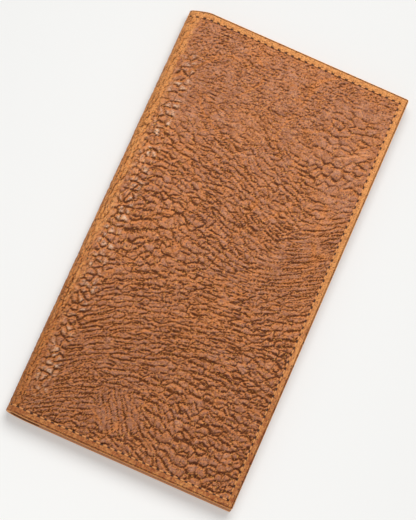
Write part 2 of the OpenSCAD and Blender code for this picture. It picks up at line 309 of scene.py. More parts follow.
class Flow:
    """Run of the creases over the hide, as two coordinates along and across them.

    Each station holds a place, in mm from the fold and above the middle of the length, and the
    angle of the creases there. Between stations the angle is mixed by how near they are. The
    coordinates are solved on a coarse grid: the slope across the creases is 1 and the slope along
    them 0, as nearly as both can be kept, and the other way round for the other coordinate.
    """

    STATIONS = (
        (8, 66, 10), (30, 66, -6), (56, 64, -12), (78, 60, 5),
        (8, 40, -20), (30, 38, -22), (44, 38, -32), (58, 30, -24), (74, 42, 6), (82, 24, 38),
        (42, 22, -28), (10, 10, 6), (32, 10, -14), (50, 10, -20), (72, 4, 26), (84, -4, 38),
        (8, -20, 30), (20, -16, 14), (36, -24, 18), (56, -16, 10), (72, -16, 34), (84, -18, 40),
        (72, -34, -14), (84, -34, -14), (6, -42, 46), (22, -48, 22), (36, -48, 14), (50, -46, 10),
        (68, -46, -14), (82, -54, 6), (8, -66, 48), (20, -64, 24), (30, -58, 18), (44, -66, -32),
        (58, -66, -8), (72, -64, -2), (82, -70, 14), (20, -78, 8), (32, -78, -30), (44, -78, -46),
    )
    REACH = 9.0
    STEP = 3.0
    ORIGIN = (-7.0, -90.0)
    SHAPE = (34, 61)

    def __init__(self) -> None:
        """Solves both coordinates."""
        rows, cols = self.SHAPE
        x = self.ORIGIN[0] + self.STEP * (np.arange(rows - 1) + 0.5)[:, None] + np.zeros(cols - 1)
        y = self.ORIGIN[1] + self.STEP * (np.arange(cols - 1) + 0.5) + np.zeros((rows - 1, 1))
        angle = self._angle(x.ravel(), y.ravel()).reshape(x.shape)
        self.along = self._solve(np.cos(angle), np.sin(angle), 1.0)
        self.across = self._solve(-np.sin(angle), np.cos(angle), 16.0)

    def _angle(self, x: np.ndarray, y: np.ndarray) -> np.ndarray:
        """Angle of the creases, as the mean of the stations' doubled angles, halved."""
        table = np.array(self.STATIONS, float)
        distance = (x[:, None] - table[:, 0]) ** 2 + (y[:, None] - table[:, 1]) ** 2
        weight = np.exp(-distance / (2 * self.REACH**2)) + 1e-9
        twice = np.radians(2.0 * table[:, 2])
        return 0.5 * np.arctan2(weight @ np.sin(twice), weight @ np.cos(twice))

    def _slopes(self, values: np.ndarray) -> tuple[np.ndarray, np.ndarray]:
        """Slopes of a grid along x and y, in the middle of every cell."""
        rise_x = values[1:, 1:] + values[1:, :-1] - values[:-1, 1:] - values[:-1, :-1]
        rise_y = values[1:, 1:] - values[1:, :-1] + values[:-1, 1:] - values[:-1, :-1]
        return rise_x / (2 * self.STEP), rise_y / (2 * self.STEP)

    def _gather(self, slope_x: np.ndarray, slope_y: np.ndarray) -> np.ndarray:
        """Sums slopes back onto the grid, as the transpose of taking them."""
        total = np.zeros(self.SHAPE)
        total[1:, 1:] += slope_x + slope_y
        total[1:, :-1] += slope_x - slope_y
        total[:-1, 1:] += slope_y - slope_x
        total[:-1, :-1] -= slope_x + slope_y
        return total / (2 * self.STEP)

    def _solve(self, ahead_x: np.ndarray, ahead_y: np.ndarray, keep: float) -> np.ndarray:
        """Values on the grid whose slope is 1 along a direction and 0 across it.

        The least squares are found by conjugate gradients.

        Args:
            ahead_x, ahead_y: the direction in every cell.
            keep: how much more the slope across counts.

        Returns:
            The grid of values.
        """
        def pull(values: np.ndarray) -> np.ndarray:
            """The least squares' matrix times a grid."""
            slope_x, slope_y = self._slopes(values)
            ahead = ahead_x * slope_x + ahead_y * slope_y
            aside = keep * (ahead_x * slope_y - ahead_y * slope_x)
            return self._gather(ahead_x * ahead - ahead_y * aside, ahead_y * ahead + ahead_x * aside)

        values = np.zeros(self.SHAPE)
        left = self._gather(ahead_x, ahead_y)
        step, size = left, (left**2).sum()
        for _ in range(700):
            pulled = pull(step)
            share = size / (step * pulled).sum()
            values = values + share * step
            left = left - share * pulled
            last, size = size, (left**2).sum()
            step = left + size / last * step
            if size < 1e-10:
                break
        return values

    def coordinates(self, x: np.ndarray, y: np.ndarray) -> tuple[np.ndarray, np.ndarray]:
        """Reads both coordinates off the grid.

        Args:
            x, y: places in mm, from the fold and along it.

        Returns:
            Distance along and across the creases, in mm.
        """
        i = np.clip((x - self.ORIGIN[0]) / self.STEP, 0.0, self.SHAPE[0] - 1.001)
        j = np.clip((y - self.ORIGIN[1]) / self.STEP, 0.0, self.SHAPE[1] - 1.001)
        row, col = i.astype(int), j.astype(int)
        s, t = i - row, j - col
        return tuple(
            (grid[row, col] * (1 - s) + grid[row + 1, col] * s) * (1 - t)
            + (grid[row, col + 1] * (1 - s) + grid[row + 1, col + 1] * s) * t
            for grid in (self.along, self.across)
        )


@dataclass
class HideFields:
    """Relief and colour fields of the hide over the places of one grid, all of one shape.

    Attributes:
        depth: how far the surface lies below the outer face, in metres.
        crease: 1 where shade is painted, in a crease and most under the near side of a scale, and 0 off it.
        bank: 1 on the far side of a scale, and 0 off it: the crease's orange pull-up tone, with painted
            light on the side that faces the lamp.
        rub: 1 where the hide is stretched or rubbed to its paler, orange tone.
        plateau: how dark the top of a scale is, at random, and darker towards the near end.
        flow: mm along and across the creases, and the painted highlights and scratches, as the last axis of
            an array.
        seam: stitches along the seam, mm across it and the golden share, as the last axis.
    """

    depth: np.ndarray
    crease: np.ndarray
    bank: np.ndarray
    rub: np.ndarray
    plateau: np.ndarray
    flow: np.ndarray
    seam: np.ndarray


@dataclass(frozen=True)
class ScaleSize:
    """Size of the scales along and across their flow, in mm, and the seed of their pattern."""

    long: float
    wide: float
    seed: int


@dataclass(frozen=True)
class Grain:
    """One pattern of scales over some places, as arrays of one shape.

    Attributes:
        relief: 0 at the top of a scale and 1 at the bottom of a crease.
        crease, bank: as in the fields of the hide.
        value: a random value for each scale.
    """

    relief: np.ndarray
    crease: np.ndarray
    bank: np.ndarray
    value: np.ndarray

    @classmethod
    def scales(cls, p: np.ndarray, q: np.ndarray, size: ScaleSize) -> "Grain":
        """Scales that fall steeply on their near side and gently on their far side.

        The relief is (1 less the distance to the wall over a width that grows from the near
        side to the far side) to a power, and is less where the wall runs across the flow.

        Args:
            p, q: places along and across the flow, in mm.
            size: size of the scales.

        Returns:
            The pattern.
        """
        long, wide = size.long, size.wide
        cells = scattered_cells(p / long, q / wide, size.seed)
        distance = cells.wall * (wide + (long - wide) * (1.0 - cells.across)) / wide
        share = 0.45 + 0.55 * cells.across
        near = smoothstep(cells.side, -0.6, 0.6)
        width = 0.8 - 0.46 * near
        return cls(
            relief=share * np.clip(1.0 - distance / width, 0.0, 1.0) ** 1.15,
            # crease: painted shade, the dark of the crease, most under the near side of the scale
            crease=share * smoothstep(-distance, -0.33, -0.04) * (0.12 + 0.88 * near),
            # orange of the crease, with painted light on the far side of the scale, which faces the lamp
            bank=share * smoothstep(-distance, -0.36, -0.08) * (1.0 - near),
            value=cells.value,
        )

    def joined(self, other: "Grain", own: np.ndarray, its: np.ndarray) -> "Grain":
        """Lays another pattern over this one, each at its own strength."""
        return Grain(
            np.maximum(own * self.relief, its * other.relief),
            np.maximum(own * self.crease, its * other.crease),
            np.maximum(own * self.bank, its * other.bank),
            self.value,
        )

    def mixed(self, other: "Grain", share: np.ndarray) -> "Grain":
        """Passes over to another pattern where share is 1."""
        return Grain(*(
            getattr(self, key) * (1.0 - share) + getattr(other, key) * share
            for key in ("relief", "crease", "bank", "value")
        ))


@dataclass(frozen=True)
class Places:
    """Places on the hide with the soft fields that steer its grain, as arrays of one shape.

    Attributes:
        x, y: mm from the fold and along it.
        shift: mm by which the back half's patterns are moved, to differ from the front's.
        p, q: mm along and across the creases.
        bend, sway: wide and narrow noise, in mm.
        calm: 1 at the far end, where the scales are fine.
        column: 1 in the column of round scales beside the fold.
        band: 1 on the stretched band round the fold.
        flat: 1 in the sewn margin.
    """

    x: np.ndarray
    y: np.ndarray
    shift: np.ndarray
    p: np.ndarray
    q: np.ndarray
    bend: np.ndarray
    sway: np.ndarray
    calm: np.ndarray
    column: np.ndarray
    band: np.ndarray
    flat: np.ndarray


@dataclass(frozen=True)
class HideGrain:
    """Tumbled, creased grain: scales parted by creases that run along the flow, over pebbles."""

    plan: CoverPlan
    flow: Flow = field(default_factory=Flow)
    scale_depth: float = 0.58 * MM
    small_depth: float = 0.2 * MM
    wave_depth: float = 0.14 * MM
    cross_depth: float = 0.2 * MM
    groove_depth: float = 0.06 * MM
    hole_depth: float = 0.5 * MM
    margin_depth: float = 0.16 * MM
    streak_depth: float = 0.03 * MM
    press_depth: float = 0.05 * MM

    MAIN = ScaleSize(3.2, 1.95, 5)
    LINES = ScaleSize(9.5, 2.15, 15)
    BROAD = ScaleSize(3.9, 2.6, 9)
    FINE = ScaleSize(1.75, 1.45, 19)
    FAN = ScaleSize(8.0, 1.9, 12)
    ROUND = ScaleSize(2.7, 2.9, 8)
    STRETCHED = ScaleSize(2.6, 1.7, 14)
    SMALL = ScaleSize(1.6, 1.2, 6)
    BROAD_SPOT = (71.0, 54.0, 15.0, 20.0)
    FAN_SPOT = (33.0, -68.0, 9.0, 9.0)
    COMBED_SPOTS = ((16, -54, 20, 20), (52, -34, 16, 14), (74, 30, 12, 18), (70, 4, 14, 12))
    SCRATCHES = (((69.5, 52.0), (79.0, 58.0), 0.42), ((3.8, 6.0), (3.4, 27.0), 0.3))
    CROSSINGS = ((45.0, 15.0, 51), (-30.0, 21.0, 53))

    def fields(self, u: np.ndarray, v: np.ndarray) -> HideFields:
        """Works out every field at the places (u, v) of the sheet.

        Args:
            u, v: arrays of one shape, in metres.

        Returns:
            The fields there.
        """
        at = self._places(u, v)
        grain = self._grain(at)
        small = Grain.scales(at.p + at.bend, at.q + 0.5 * at.bend + at.sway, self.SMALL)
        loose = 1.0 - at.flat
        free = loose * (1.0 - 0.25 * at.band) * self._strength(at)
        cross = self._cross_creases(at.x + at.shift, at.y)
        mark = self._marks(u, at.x, at.y)
        streak = fractal_noise(at.x / 0.7 + at.sway, at.y / 5.0, 37)
        relief = self.scale_depth * grain.relief + self.small_depth * small.relief
        depth = free * (1.0 - 0.5 * at.band) * relief
        depth += self.wave_depth * (0.5 + 0.5 * fractal_noise(at.x / 6.0, at.y / 6.0, 29)) * loose
        streaks = self.streak_depth * at.flat * (0.5 + 0.5 * streak)
        depth += streaks + self.cross_depth * loose * np.maximum(cross, mark)
        along, across = self._seam(u, v)
        depth = self._sewn(at, depth, along, across)
        # painted shade in the creases, most under the near side of each scale
        crease = free * np.maximum(grain.crease, 0.5 * small.crease) * (1.0 - 0.6 * mark)
        # orange of the creases with painted light on their lit side, and of the cross creases and scratches
        bank = np.maximum(free * np.maximum(grain.bank, 0.6 * small.bank), loose * (cross + 1.6 * mark))
        golden = 0.55 * at.band + 0.4 * smoothstep(-at.x + 1.6 * at.sway + at.bend, -6.0, 0.5)
        return HideFields(
            depth=depth,
            crease=np.clip(crease, 0.0, 1.0),
            bank=np.clip(bank, 0.0, 1.0),
            rub=np.clip(self._rub(at, streak), 0.0, 1.0),
            plateau=np.clip(0.8 * grain.value + 0.52 * smoothstep(-at.y, -20.0, 80.0), 0.0, 1.0),
            flow=np.stack([at.p, at.q, self._glint(at, grain, mark)], axis=-1),
            seam=np.stack([along, across, np.maximum(at.flat, golden)], axis=-1),
        )

    def _places(self, u: np.ndarray, v: np.ndarray) -> Places:
        """Works out the soft fields that steer the grain at the places (u, v)."""
        plan = self.plan
        x, y = (np.abs(u - plan.sheet_w / 2) - plan.fold_w / 2) / MM, v / MM
        shift = np.where(u < plan.sheet_w / 2, 37.0, 0.0)
        p, q = self.flow.coordinates(x, y)
        p = p + shift
        bend = 1.3 * fractal_noise(p / 7.0, q / 5.0, 11)
        sway = 0.5 * fractal_noise(p / 2.4, q / 2.0, 17)
        column = smoothstep(-np.abs(x - 4.5 - 1.5 * sway), -4.6, -2.0)
        return Places(
            x, y, shift, p, q, bend, sway,
            calm=smoothstep(y + 9.0 * fractal_noise(x / 14.0, y / 14.0, 21), 30.0, 70.0),
            column=column * smoothstep(-np.abs(y + 4.0), -80.0, -60.0),
            band=smoothstep(-x + 1.2 * sway + 0.5 * bend, -2.4, 0.8),
            flat=smoothstep(-self._inside(u, v), -0.5 * MM, 0.5 * MM),
        )

    def _grain(self, at: Places) -> Grain:
        """Scales of the whole hide: one pattern after another is mixed in where it belongs."""
        x, y, bend, sway = at.x, at.y, at.bend, at.sway
        along, across = at.p + bend, at.q + 0.5 * bend + sway
        combed = self._combed(x, y)
        lines = Grain.scales(along, across, self.LINES)
        grain = Grain.scales(along, across, self.MAIN)
        grain = grain.joined(lines, 0.95 - 0.5 * combed, 0.6 + 0.5 * combed - 0.3 * at.calm)
        broad = self._spot(x, y, *self.BROAD_SPOT)
        fan = self._spot(x, y, *self.FAN_SPOT)
        for p, q, size, share in (
            (along + at.shift, across, self.BROAD, 0.8 * broad),
            (x + at.shift + 0.8 * sway, y + 0.6 * bend, self.FINE, 0.72 * at.calm * (1.0 - broad)),
            (0.5 * x - 0.87 * y + 0.4 * bend, 0.87 * x + 0.5 * y + sway, self.FAN, 0.85 * fan),
            (x + at.shift + sway, y + bend, self.ROUND, at.column),
            (y + 0.8 * x + bend, x + sway, self.STRETCHED, at.band),
        ):
            grain = grain.mixed(Grain.scales(p, q, size), share)
        return grain

    @staticmethod
    def _strength(at: Places) -> np.ndarray:
        """How deep the scales are: uneven, weaker at the far end and stronger at the near one."""
        x, y = at.x, at.y
        uneven = 1.0 + 0.3 * fractal_noise(x / 9.0, y / 8.0, 23) + 0.4 * fractal_noise(x / 2.2, y / 2.0, 25)
        return np.clip(uneven - 0.08 * at.calm, 0.25, 1.35) * (0.9 + 0.15 * smoothstep(-y, -50.0, 60.0))

    def _sewn(
        self, at: Places, depth: np.ndarray, along: np.ndarray, across: np.ndarray,
    ) -> np.ndarray:
        """Sinks the groove, the needle holes and the pressed margin into the depth.

        Each is a bell, exp(-(distance over its width) squared), of the distance to the seam's
        line or to the nearest hole, or the margin's own share.
        """
        line = np.exp(-((across / 0.36) ** 2))
        hole = np.exp(-(((along - np.round(along)) * self.plan.stitch_l / MM / 0.55) ** 2))
        depth = depth + (self.groove_depth * line + self.hole_depth * hole * line)
        press = self.press_depth * np.exp(-((across / 1.2) ** 2))
        return depth + (self.margin_depth * at.flat + press)

    @staticmethod
    def _rub(at: Places, streak: np.ndarray) -> np.ndarray:
        """How pale and orange the hide is rubbed, in clouds, and in streaks on band and margin."""
        x, y = at.x, at.y
        rub = 0.3 + 0.7 * fractal_noise(x / 12.0, y / 12.0, 31) + 0.45 * fractal_noise(x / 3.5, y / 3.0, 33)
        rub = rub + 0.25 * smoothstep(y, -84.0, 70.0)
        streaked = 0.3 + 0.3 * streak + 0.5 * smoothstep(y, -84.0, 30.0)
        return np.where(at.flat + at.band > 0.5, streaked, rub)

    @staticmethod
    def _glint(at: Places, grain: Grain, mark: np.ndarray) -> np.ndarray:
        """Mask of painted highlights on the tops of some scales in the column beside the fold, where the
        hide is also polished smoother, and of the scratches.
        """
        highlight_and_scratch = at.column * (1.0 - at.flat) * smoothstep(grain.value, 0.2, 0.5)
        highlight_and_scratch = highlight_and_scratch * smoothstep(-grain.relief, -0.6, -0.15)
        cloud = smoothstep(fractal_noise(at.x / 1.7, at.y / 1.5, 61), -0.4, 0.0)
        return np.maximum(highlight_and_scratch * cloud, mark)

    @staticmethod
    def _spot(
        x: np.ndarray, y: np.ndarray, at_x: float, at_y: float, long_x: float, long_y: float,
    ) -> np.ndarray:
        """A soft ellipse round one place, with an uneven edge: 1 inside it and 0 outside."""
        reach = np.hypot((x - at_x) / long_x, (y - at_y) / long_y)
        return smoothstep(-reach + 0.3 * fractal_noise(x / 6.0, y / 6.0, 47), -1.15, -0.7)

    def _cross_creases(self, x: np.ndarray, y: np.ndarray) -> np.ndarray:
        """Long shallow creases that run across the flow, where two slanted noises pass 0."""
        total = np.zeros(np.shape(x))
        for slant, apart, seed in self.CROSSINGS:
            ahead, aside = math.cos(math.radians(slant)), math.sin(math.radians(slant))
            along, over = ahead * x + aside * y, ahead * y - aside * x
            wave = over / apart + 0.1 * value_noise(along / 9.0, over / 9.0, seed + 1)
            here, beside = (value_noise(along / 46.0, wave + shift / apart, seed) for shift in (0.0, 0.5))
            away = 0.5 * np.abs(here) / np.maximum(np.abs(beside - here), 0.02)
            broken = smoothstep(fractal_noise(along / 11.0, over / 7.0, seed + 2), -0.25, 0.2)
            total = np.maximum(total, broken * smoothstep(-away, -0.6, -0.15))
        return 0.8 * total

    def _marks(self, u: np.ndarray, x: np.ndarray, y: np.ndarray) -> np.ndarray:
        """Two scratches on the front: near its far right corner, and along the fold."""
        total = np.zeros(np.shape(x))
        for start, end, half in self.SCRATCHES:
            step = (end[0] - start[0], end[1] - start[1])
            share = ((x - start[0]) * step[0] + (y - start[1]) * step[1]) / (step[0] ** 2 + step[1] ** 2)
            share = np.clip(share, 0.0, 1.0)
            away = np.hypot(x - start[0] - share * step[0], y - start[1] - share * step[1])
            total = np.maximum(total, smoothstep(-away, -1.6 * half, -0.4 * half))
        total *= 0.75 + 0.5 * fractal_noise(x / 1.4, y / 1.4, 67)
        return np.where(u > self.plan.sheet_w / 2, total, 0.0)

    def _combed(self, x: np.ndarray, y: np.ndarray) -> np.ndarray:
        """Where the creases are long and even: round four places, as soft ellipses."""
        total = np.zeros(np.shape(x))
        for at_x, at_y, long_x, long_y in self.COMBED_SPOTS:
            total = np.maximum(total, np.exp(-(((x - at_x) / long_x) ** 2) - ((y - at_y) / long_y) ** 2))
        return 0.85 * smoothstep(total + 0.25 * fractal_noise(x / 5.0, y / 5.0, 43), 0.3, 0.8)

    def _inside(self, u: np.ndarray, v: np.ndarray) -> np.ndarray:
        """Distance inwards from the line of the seam, negative in the sewn margin."""
        plan = self.plan
        edge = np.minimum(u, plan.sheet_w - u)
        return np.minimum(edge - (plan.open_x - plan.seam_x), plan.seam_y - np.abs(v))

    def _seam(self, u: np.ndarray, v: np.ndarray) -> tuple[np.ndarray, np.ndarray]:
        """Stitches along the nearest side of the seam, and mm across it."""
        plan = self.plan
        rows = SeamRows(plan)
        to_long = np.minimum(u, plan.sheet_w - u) - rows.start
        to_side = plan.seam_y - np.abs(v)
        past_corner, past_side = np.maximum(-to_long, 0.0), np.maximum(-to_side, 0.0)
        on_side = np.abs(to_side) + past_corner < np.abs(to_long) + past_side
        along = np.where(on_side, rows.side_phase(u), (v + plan.seam_y) / rows.long_step)
        across = np.where(on_side, np.hypot(to_side, past_corner), np.hypot(to_long, past_side))
        return along, across / MM


class SeamRows:
    """Where the needle holes lie: whole stitches on each panel side, one in each fold strip."""

    def __init__(self, plan: CoverPlan) -> None:
        """Fits whole stitches to the sides of the plan."""
        self.plan = plan
        self.start = plan.open_x - plan.seam_x
        run = plan.panel_w - self.start
        self.side_n = round(run / plan.stitch_l)
        self.side_step = run / self.side_n
        self.long_n = round(2 * plan.seam_y / plan.stitch_l)
        self.long_step = 2 * plan.seam_y / self.long_n
        self.fold_step = plan.fold_w / 4

    def side_phase(self, u: np.ndarray) -> np.ndarray:
        """Number of stitches from the open edge's seam to a place u on either end of the cover."""
        plan = self.plan
        near = np.minimum(u, plan.sheet_w - u)
        panel = (near - self.start) / self.side_step
        fold = self.side_n + (near - plan.panel_w) / self.fold_step
        return np.where(near < plan.panel_w, panel, fold)

    def half_route(self, front: bool) -> tuple[np.ndarray, np.ndarray, np.ndarray]:
        """Route of the seam round one half, from the fold round the open edge and back.

        Args:
            front: which half.

        Returns:
            The unrolled u and v of each point, and its number of stitches from a needle hole.
        """
        plan = self.plan
        fractions = np.array([0.0, 0.09, 0.2, 0.35, 0.5, 0.65, 0.8, 0.91])
        side = (np.arange(self.side_n)[:, None] + fractions).ravel()
        long = (np.arange(self.long_n)[:, None] + fractions).ravel()
        side_u = plan.panel_w - side * self.side_step
        back_u = side_u[0] - (side_u - self.start)
        u = np.concatenate([side_u, np.full(long.shape, self.start), back_u, [plan.panel_w]])
        v = np.concatenate([
            np.full(side.shape, plan.seam_y),
            plan.seam_y - long * self.long_step,
            np.full(side.size + 1, -plan.seam_y),
        ])
        phase = np.concatenate([side, long, side, [0.0]])
        if front:
            u = plan.sheet_w - u
        return u, v, np.abs(phase - np.round(phase))


def grid_quads(rows: int, cols: int) -> np.ndarray:
    """Corners of the faces of a grid whose points are numbered along its rows."""
    r, c = np.meshgrid(np.arange(rows - 1), np.arange(cols - 1), indexing="ij")
    at = (r * cols + c).ravel()
    return np.stack([at, at + cols, at + cols + 1, at + 1], axis=-1)


def rim_loop(rows: int, cols: int) -> np.ndarray:
    """Numbers of a grid's outer points, in order round it."""
    first = np.arange(cols)
    last = np.arange(1, rows) * cols + cols - 1
    back = (rows - 1) * cols + np.arange(cols - 2, -1, -1)
    home = np.arange(rows - 2, 0, -1) * cols
    return np.concatenate([first, last, back, home])


def ring_quads(first: np.ndarray, second: np.ndarray) -> np.ndarray:
    """Faces between two closed rings of as many points, seen from outside the second."""
    return np.stack([first, np.roll(first, -1), np.roll(second, -1), second], axis=-1)


class Mesh:
    """Gathers points, faces and fields of one piece, and makes its object."""

    def __init__(self, name: str) -> None:
        """Starts an empty piece."""
        self.name = name
        self.points: list[np.ndarray] = []
        self.faces: list[np.ndarray] = []
        self.caps: list[np.ndarray] = []
        self.fields: dict[str, list[np.ndarray]] = {}
        self.count = 0

    def add(self, points: np.ndarray, **fields: np.ndarray) -> np.ndarray:
        """Adds points with their fields.

        Args:
            points: array whose last axis is X, Y, Z.
            fields: for each field, one value or vector a point.

        Returns:
            The numbers of the new points.
        """
        flat = points.reshape(-1, 3)
        self.points.append(flat)
        for key, values in fields.items():
            width = 3 if values.size == 3 * len(flat) else 1
            self.fields.setdefault(key, []).append(values.reshape(-1, width))
        numbers = np.arange(self.count, self.count + len(flat))
        self.count += len(flat)
        return numbers

    def quads(self, corners: np.ndarray, flip: bool = False) -> None:
        """Adds faces with four corners, turned over if asked."""
        self.faces.append(corners[:, ::-1] if flip else corners)

    def build(self, finish: bpy.types.Material) -> bpy.types.Object:
        """Makes the object, smooth but for its flat caps, with its fields as point attributes."""
        points = np.concatenate(self.points)
        quads = np.concatenate(self.faces)
        corners = np.concatenate([quads.ravel(), *self.caps])
        sizes = np.concatenate([np.full(len(quads), 4), [len(c) for c in self.caps]]).astype(int)
        mesh = bpy.data.meshes.new(self.name)
        mesh.vertices.add(len(points))
        mesh.vertices.foreach_set("co", points.astype(np.float32).ravel())
        mesh.loops.add(len(corners))
        mesh.loops.foreach_set("vertex_index", corners.astype(np.int32))
        mesh.polygons.add(len(sizes))
        starts = np.concatenate([[0], np.cumsum(sizes)[:-1]])
        mesh.polygons.foreach_set("loop_start", starts.astype(np.int32))
        smooth = np.ones(len(sizes), bool)
        smooth[len(quads):] = False
        mesh.polygons.foreach_set("use_smooth", smooth)
        mesh.update(calc_edges=True)
        for key, parts in self.fields.items():
            values = np.concatenate(parts)
            kind, slot = ("FLOAT_VECTOR", "vector") if values.shape[1] == 3 else ("FLOAT", "value")
            layer = mesh.attributes.new(key, kind, "POINT")
            layer.data.foreach_set(slot, values.astype(np.float32).ravel())
        mesh.validate()
        mesh.materials.append(finish)
        piece = bpy.data.objects.new(self.name, mesh)
        bpy.context.scene.collection.objects.link(piece)
        return piece


def share_normals(piece: bpy.types.Object, numbers: np.ndarray, normals: np.ndarray) -> None:
    """Gives some points the normals of the whole sheet, so that no line shows where it is parted.

    Args:
        piece: the object.
        numbers: numbers of the points.
        normals: their normals.
    """
    mesh = piece.data
    own = np.zeros(len(mesh.loops) * 3, np.float32)
    mesh.corner_normals.foreach_get("vector", own)
    own = own.reshape(-1, 3)
    corner_point = np.zeros(len(mesh.loops), np.int32)
    mesh.loops.foreach_get("vertex_index", corner_point)
    shared = np.full((len(mesh.vertices), 3), np.nan)
    shared[numbers] = normals
    wanted = shared[corner_point]
    same_side = ~np.isnan(wanted[:, 0]) & ((wanted * own).sum(axis=1) > 0.55)
    own[same_side] = wanted[same_side]
    mesh.normals_split_custom_set(own.tolist())


class Half(Enum):
    """The two halves of the cover."""

    BACK = "back"
    FRONT = "front"


class Strip(Enum):
    """The four strips of the fold, each with the two bodies on either side of it."""

    FIRST = ("back", "lower_spine")
    SECOND = ("lower_spine", "middle_spine")
    THIRD = ("middle_spine", "upper_spine")
    FOURTH = ("upper_spine", "front")


STRIP_NODES = {
    Strip.FIRST: "lower_spine_{}",
    Strip.SECOND: "middle_spine_{}",
    Strip.THIRD: "upper_spine_{}",
}


def strip_name(strip: Strip) -> str:
    """Word for a strip in the names of its pieces."""
    return strip.name.lower()


def bend_strip(plan: CoverPlan, piece: bpy.types.Object, strip: Strip) -> None:
    """Works out the ends of a piece's strip of the fold, which nothing uses, and bakes the piece's transform
    into its points.
    """
    index = list(Strip).index(strip)
    ends = plan.panel_w + np.array([index, index + 1]) * plan.fold_w / 4
    start, end = plan.place(ends, np.zeros(2), np.zeros(2))
    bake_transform(piece)


@dataclass(frozen=True)
class SheetLayer:
    """One layer of the folded sheet: its name, its faces' depths and its rim.

    Attributes:
        word: word in the names of its pieces.
        node_word: word in the names of the solids that it stands for.
        slot: a word for the layer's material, not used.
        outer, inner: depths of its two faces below the outside of the cover.
        step: spacing of its grid.
        rim_r: radius at its cut edges.
    """

    word: str
    node_word: str
    slot: str
    outer: float
    inner: float
    step: float
    rim_r: float


